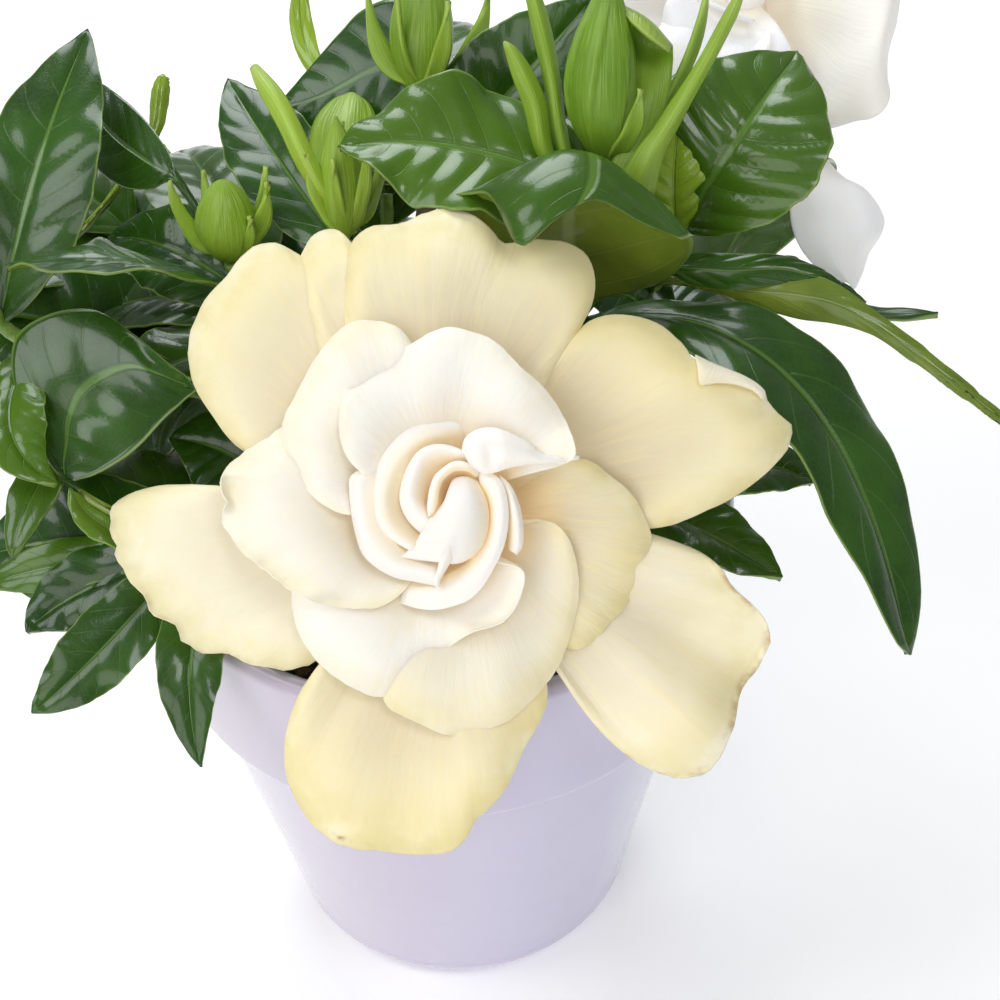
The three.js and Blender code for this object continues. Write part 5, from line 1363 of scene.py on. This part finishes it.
# Sepals drawn in the picture frame: rows of (x, y, depth) from the base to the tip
CLUSTER_DRAWN = [
    # long bright sepal, from its base to its tip
    [[(350, 236, 379), (353, 234, 378.6), (357, 232, 379)],
     [(333, 212, 377), (337, 208, 376.5), (342, 205, 377)],
     [(311, 189, 375.5), (319, 185, 374.4), (326, 180, 375.5)],
     [(293, 159, 375), (302, 153, 373.6), (311, 148, 375)],
     [(280, 131, 376), (289, 125, 374.6), (298, 120, 376)],
     [(266, 105, 378), (275, 99, 376.8), (284, 94, 378)],
     [(256, 86, 380), (263, 81, 379.2), (270, 77, 380)],
     [(250, 69, 382), (254, 66, 382), (258, 65, 382)]],
    # rounded pale leaf behind it
    [[(338, 232, 386), (345, 232, 385.4), (352, 232, 386)],
     [(320, 182, 386), (344, 184, 384), (368, 182, 386)],
     [(310, 150, 388), (343, 154, 385.5), (376, 150, 388)],
     [(315, 120, 391), (347, 122, 388.6), (377, 122, 391)],
     [(333, 100, 394), (352, 99, 392.8), (368, 103, 394)],
     [(345, 95, 395), (352, 94, 395), (358, 96, 395)]],
]
# Sepal at the right of the right bud, its upper margin turned forward
RIGHT_DRAWN = [
    [(604, 184, 365), (616, 188, 364), (630, 188, 365)],
    [(618, 142, 364), (636, 144, 363), (654, 138, 364)],
    [(624, 104, 364), (646, 104, 362.5), (668, 96, 364)],
    [(625, 66, 365), (650, 72, 364), (673, 62, 364)],
    [(624, 30, 366), (648, 44, 365.5), (673, 52, 365)],
    [(622, 10, 364), (648, 24, 363), (672, 46, 363.5)],
    [(623, 6, 360), (646, 22, 358.6), (671, 47, 360)],
    [(625, 16, 358), (645, 34, 357), (669, 52, 358.6)]]
# Long sepal in front of it
LONG_DRAWN = [
    [(612, 190, 363), (632, 197, 362), (654, 196, 363)],
    [(632, 156, 361), (648, 158, 359.5), (664, 155, 361)],
    [(650, 132, 360), (663, 133, 358.5), (677, 129, 360)],
    [(668, 106, 359), (679, 107, 357.5), (690, 104, 359)],
    [(686, 80, 358), (694, 81, 356.8), (703, 80, 358)],
    [(702, 54, 357), (709, 55, 356), (717, 55, 357)],
    [(715, 30, 356), (721, 31, 355.2), (729, 32, 356)],
    [(727, 8, 355), (733, 9, 354.5), (739, 11, 355)],
    [(741, -16, 354), (744, -15, 354), (746, -14, 354)]]
# Two sepals at its left
LEFT_DRAWN = [
    [[(544, 166, 366), (551, 168, 365), (558, 168, 366)],
     [(534, 146, 365), (542, 146, 363.5), (551, 143, 365)],
     [(524, 108, 363), (534, 105, 361.5), (544, 98, 363)],
     [(512, 75, 361), (521, 72, 360), (530, 67, 361)],
     [(505, 50, 360), (510, 49, 359.5), (516, 48, 360)],
     [(503, 43, 360), (505, 42, 360), (507, 42, 360)]],
    [[(562, 166, 367), (568, 168, 366), (574, 166, 367)],
     [(551, 127, 366), (558, 127, 364.5), (565, 121, 366)],
     [(543, 76, 364), (550, 74, 362.5), (558, 68, 364)],
     [(534, 38, 362), (542, 35, 360.5), (551, 30, 362)],
     [(527, 2, 360), (534, 0, 359), (541, -3, 360)],
     [(520, -30, 359), (523, -31, 359), (526, -31, 359)]]]
# Drawn sepals of the buds, each with its brightness and the strength of its pale rib
DRAWN_SEPALS = {"bud_cluster": [(CLUSTER_DRAWN[0], 0.8, 0.8), (CLUSTER_DRAWN[1], 0.45, 0.8)],
                "bud_right": [(RIGHT_DRAWN, 0.3, 0.2), (LONG_DRAWN, 0.5, 0.5),
                              (LEFT_DRAWN[0], 0.5, 0.4), (LEFT_DRAWN[1], 0.4, 0.4)]}

# Petals of the back bloom in the picture frame: rows of (x, y, depth) from the root to the free margin
BACK_DRAWN = [
    dict(cream=0.35, rows=[
        [(762, -6, 414), (766, 10, 415), (766, 26, 416)],
        [(800, -26, 408), (800, 10, 409), (792, 35, 412), (782, 50, 414), (770, 56, 416)],
        [(842, -34, 403), (838, 8, 403), (826, 42, 406), (810, 66, 409), (795, 80, 412), (780, 84, 414)],
        [(872, -36, 400), (868, 8, 399), (858, 42, 400), (843, 70, 402), (828, 92, 405), (808, 102, 409),
         (790, 102, 412)],
        [(893, -36, 400), (888, 4, 398), (880, 42, 397), (872, 72, 398), (860, 98, 400), (838, 112, 404),
         (812, 116, 409)],
        [(904, -36, 403), (899, 2, 402), (896, 24, 401), (889, 50, 401), (888, 76, 401), (890, 94, 401),
         (884, 110, 401), (871, 120, 402), (855, 123, 404), (832, 128, 408), (812, 126, 411)]]),
    dict(cream=0.0, rows=[
        [(734, 2, 410), (744, 6, 410), (756, 4, 411)],
        [(700, -6, 403), (735, 36, 401), (776, 22, 404)],
        [(668, 0, 400), (694, 50, 397), (730, 72, 395), (766, 74, 397), (792, 50, 401)],
        [(662, 22, 401), (676, 66, 399), (706, 96, 397), (745, 106, 397), (778, 96, 399), (798, 70, 403)]]),
    dict(cream=0.15, rows=[
        [(742, 48, 420), (750, 50, 420), (758, 50, 420)],
        [(762, 104, 424), (772, 104, 424), (786, 104, 424)],
        [(784, 150, 424), (800, 148, 423), (816, 146, 424)],
        [(792, 180, 422), (816, 174, 420), (838, 177, 421), (842, 177, 423)],
        [(790, 205, 421), (822, 196, 417), (852, 188, 418), (866, 190, 421)],
        [(792, 226, 421), (826, 220, 417), (862, 212, 416), (884, 218, 420)],
        [(800, 246, 421), (832, 242, 417), (862, 238, 416), (881, 234, 419)],
        [(815, 264, 421), (838, 262, 418), (856, 260, 418), (868, 254, 420)],
        [(838, 280, 421), (846, 284, 420), (854, 288, 420), (862, 274, 421)]]),
]


def spread(points, size, turn):
    """Points scaled and turned about the bloom's axis."""
    c, s = math.cos(turn), math.sin(turn)
    return [(size * (x * c - y * s), size * (x * s + y * c)) for x, y in points]


def make_second_bloom(material):
    piece = Piece()
    core(piece)
    n, m = DRAWN_PETAL
    along, swing = np.linspace(0, 1, n)[:, None], np.linspace(-1, 1, m)[None]
    for k, petal_rows in enumerate(BACK_DRAWN):
        grid = moved(rows_grid(seen_rows(petal_rows["rows"]), n, m)[:, ::-1], second_place().inverted())
        grid[..., 2] += 0.5 * np.sin(5 * swing + 4 * along + k) * along**2
        # Painted warm shade near the root of each drawn petal
        piece.sheet(grid, petal_thickness(along, swing), reach=along, swing=swing + k,
                    cream=petal_rows["cream"], warm=0.4 * (1 - ease(along, 0.1, 0.5)), vein=0.1)
    for w, whorl in enumerate(WHORLS):
        for k in range(whorl["count"]):
            if (w, k) in DRAWN_INSTEAD:
                continue
            turn = math.radians(whorl["turn"] + 360 * k / whorl["count"])
            p = petal(spread([(3, 0)], 1, turn)[0], whorl["level"], whorl["tilt"],
                      spread(PETAL_OUTLINE, whorl["reach"], turn), cream=0.12, ruffle=1.1)
            add_petal(piece, p, whorl, BACK_PETAL, WHORL_SEED + 10 * w + k)
    n, m = SHELL
    along, across = np.linspace(1, 0, n)[:, None], np.linspace(0, 1, m)[None]
    for k, (start, sweep, inner, outer, rim) in enumerate(SHELLS):
        turn = np.radians(start - sweep * across)
        radius = (inner + (outer - inner) * across) * (0.55 + 0.45 * along**1.5 + 0.12 * ease(along, 0.75, 1))
        rise = rim * (1 - 0.35 * (2 * across - 1)**2) - SEAT
        z = SEAT + (rise + 0.3 * np.sin(9 * across + k)) * along
        grid = np.stack([radius * np.cos(turn), radius * np.sin(turn), z], -1)
        # Painted warm shade deep down in each shell
        piece.sheet(grid, 0.6, reach=along, swing=2 * across - 1 + k, cream=0.05,
                    warm=0.5 * (1 - ease(along, 0.2, 0.8)))
    piece.make("back_bloom_petals", [material], "bloom_back", second_place())


# Lamps: place, the point it shines at, width, power, colour
LAMPS = {
    "sky": ((-0.1, 0.85, 0.95), (0, 0.02, 0.14), 0.8, 8.0, (0.93, 0.97, 1.0)),
    "left": ((-0.75, -0.15, 1.05), (0, 0, 0.12), 0.7, 4.5, (0.97, 0.985, 1.0)),
    "right": ((0.35, -0.5, 1.1), (0, 0, 0.12), 0.4, 2.6, (0.97, 0.985, 1.0)),
    "key": ((-0.45, -0.95, 0.6), (0, 0, 0.1), 1.0, 4.9, (1.0, 0.985, 0.96)),
}
WORLD_COLOUR, WORLD_STRENGTH = (0.98, 0.99, 1.0, 1), 0.23
FLOOR_SIZE, FLOOR_DROP = 3.0, 0.0002
FRAME_WIDTH, SENSOR_WIDTH = 1000, 36


def make_camera():
    right, up, back, eye = (Vector(v) for v in camera_axes())
    camera = bpy.data.objects.new("camera", bpy.data.cameras.new("camera"))
    camera.data.sensor_width = SENSOR_WIDTH
    camera.data.lens = SENSOR_WIDTH * CAMERA["focal"] / FRAME_WIDTH
    camera.data.clip_start = 0.01
    camera.matrix_world = Matrix.Translation(eye * MM) @ Matrix((right, up, back)).transposed().to_4x4()
    bpy.context.scene.collection.objects.link(camera)
    bpy.context.scene.camera = camera


def make_studio():
    mesh = bpy.data.meshes.new("floor")
    corners = [(x * FLOOR_SIZE, y * FLOOR_SIZE, 0) for x, y in ((-1, -1), (1, -1), (1, 1), (-1, 1))]
    mesh.from_pydata(corners, [], [(0, 1, 2, 3)])
    mesh.materials.append(floor_look())
    floor = bpy.data.objects.new("floor", mesh)
    floor.location.z = -FLOOR_DROP
    bpy.context.scene.collection.objects.link(floor)
    for name, (place, aim, size, power, colour) in LAMPS.items():
        light = bpy.data.lights.new(name, "AREA")
        light.shape, light.size, light.energy, light.color = "DISK", size, power, colour
        lamp = bpy.data.objects.new(name, light)
        lamp.location = place
        lamp.rotation_euler = (Vector(aim) - Vector(place)).to_track_quat("-Z", "Y").to_euler()
        bpy.context.scene.collection.objects.link(lamp)
    world = bpy.data.worlds.new("world")
    world.use_nodes = True
    background = world.node_tree.nodes["Background"]
    background.inputs["Color"].default_value = WORLD_COLOUR
    background.inputs["Strength"].default_value = WORLD_STRENGTH
    bpy.context.scene.world = world


bpy.context.scene.view_settings.view_transform = "Standard"
make_camera()
make_studio()
leaf_green, stem_green, bud_green = leaf_look(), stem_look(), bud_look()
# The petals' glow is painted light: a faint emission that lifts their shaded sides and crevices as if light
# shone through them
cream = petal_look("cream_petal", white=((0.80, 0.72, 0.58), (0.97, 0.945, 0.90)),
                   cream_shaded_to_clear=((0.70, 0.60, 0.38), (0.93, 0.84, 0.56)), margin=(0.92, 0.78, 0.38),
                   throat=(0.95, 0.74, 0.44), glow=(1.0, 0.84, 0.6), glow_strength=0.07)
# The back bloom's stronger glow is painted light that lifts its petals out of the shadow of the leaves in
# front
white = petal_look("white_petal", white=((0.88, 0.85, 0.80), (0.93, 0.92, 0.94)),
                   cream_shaded_to_clear=((0.84, 0.78, 0.62), (0.93, 0.88, 0.74)), margin=(0.88, 0.80, 0.60),
                   throat=(0.90, 0.78, 0.50), glow=(0.9, 0.92, 1.0), glow_strength=0.13)
make_pot(glaze_look())
make_soil(soil_look())
make_wood(bark_look())
for shoot in SHOOTS:
    make_shoot(shoot, [leaf_green, stem_green])
for bud in BUDS:
    make_bud(bud, bud_green)
make_main_bloom(cream)
make_second_bloom(white)
make_calyx("calyx_front", bud_green, bloom_place(), limb_route("bloom_front"))
make_calyx("calyx_back", bud_green, second_place(), shoot_route("shoot_right_back"))
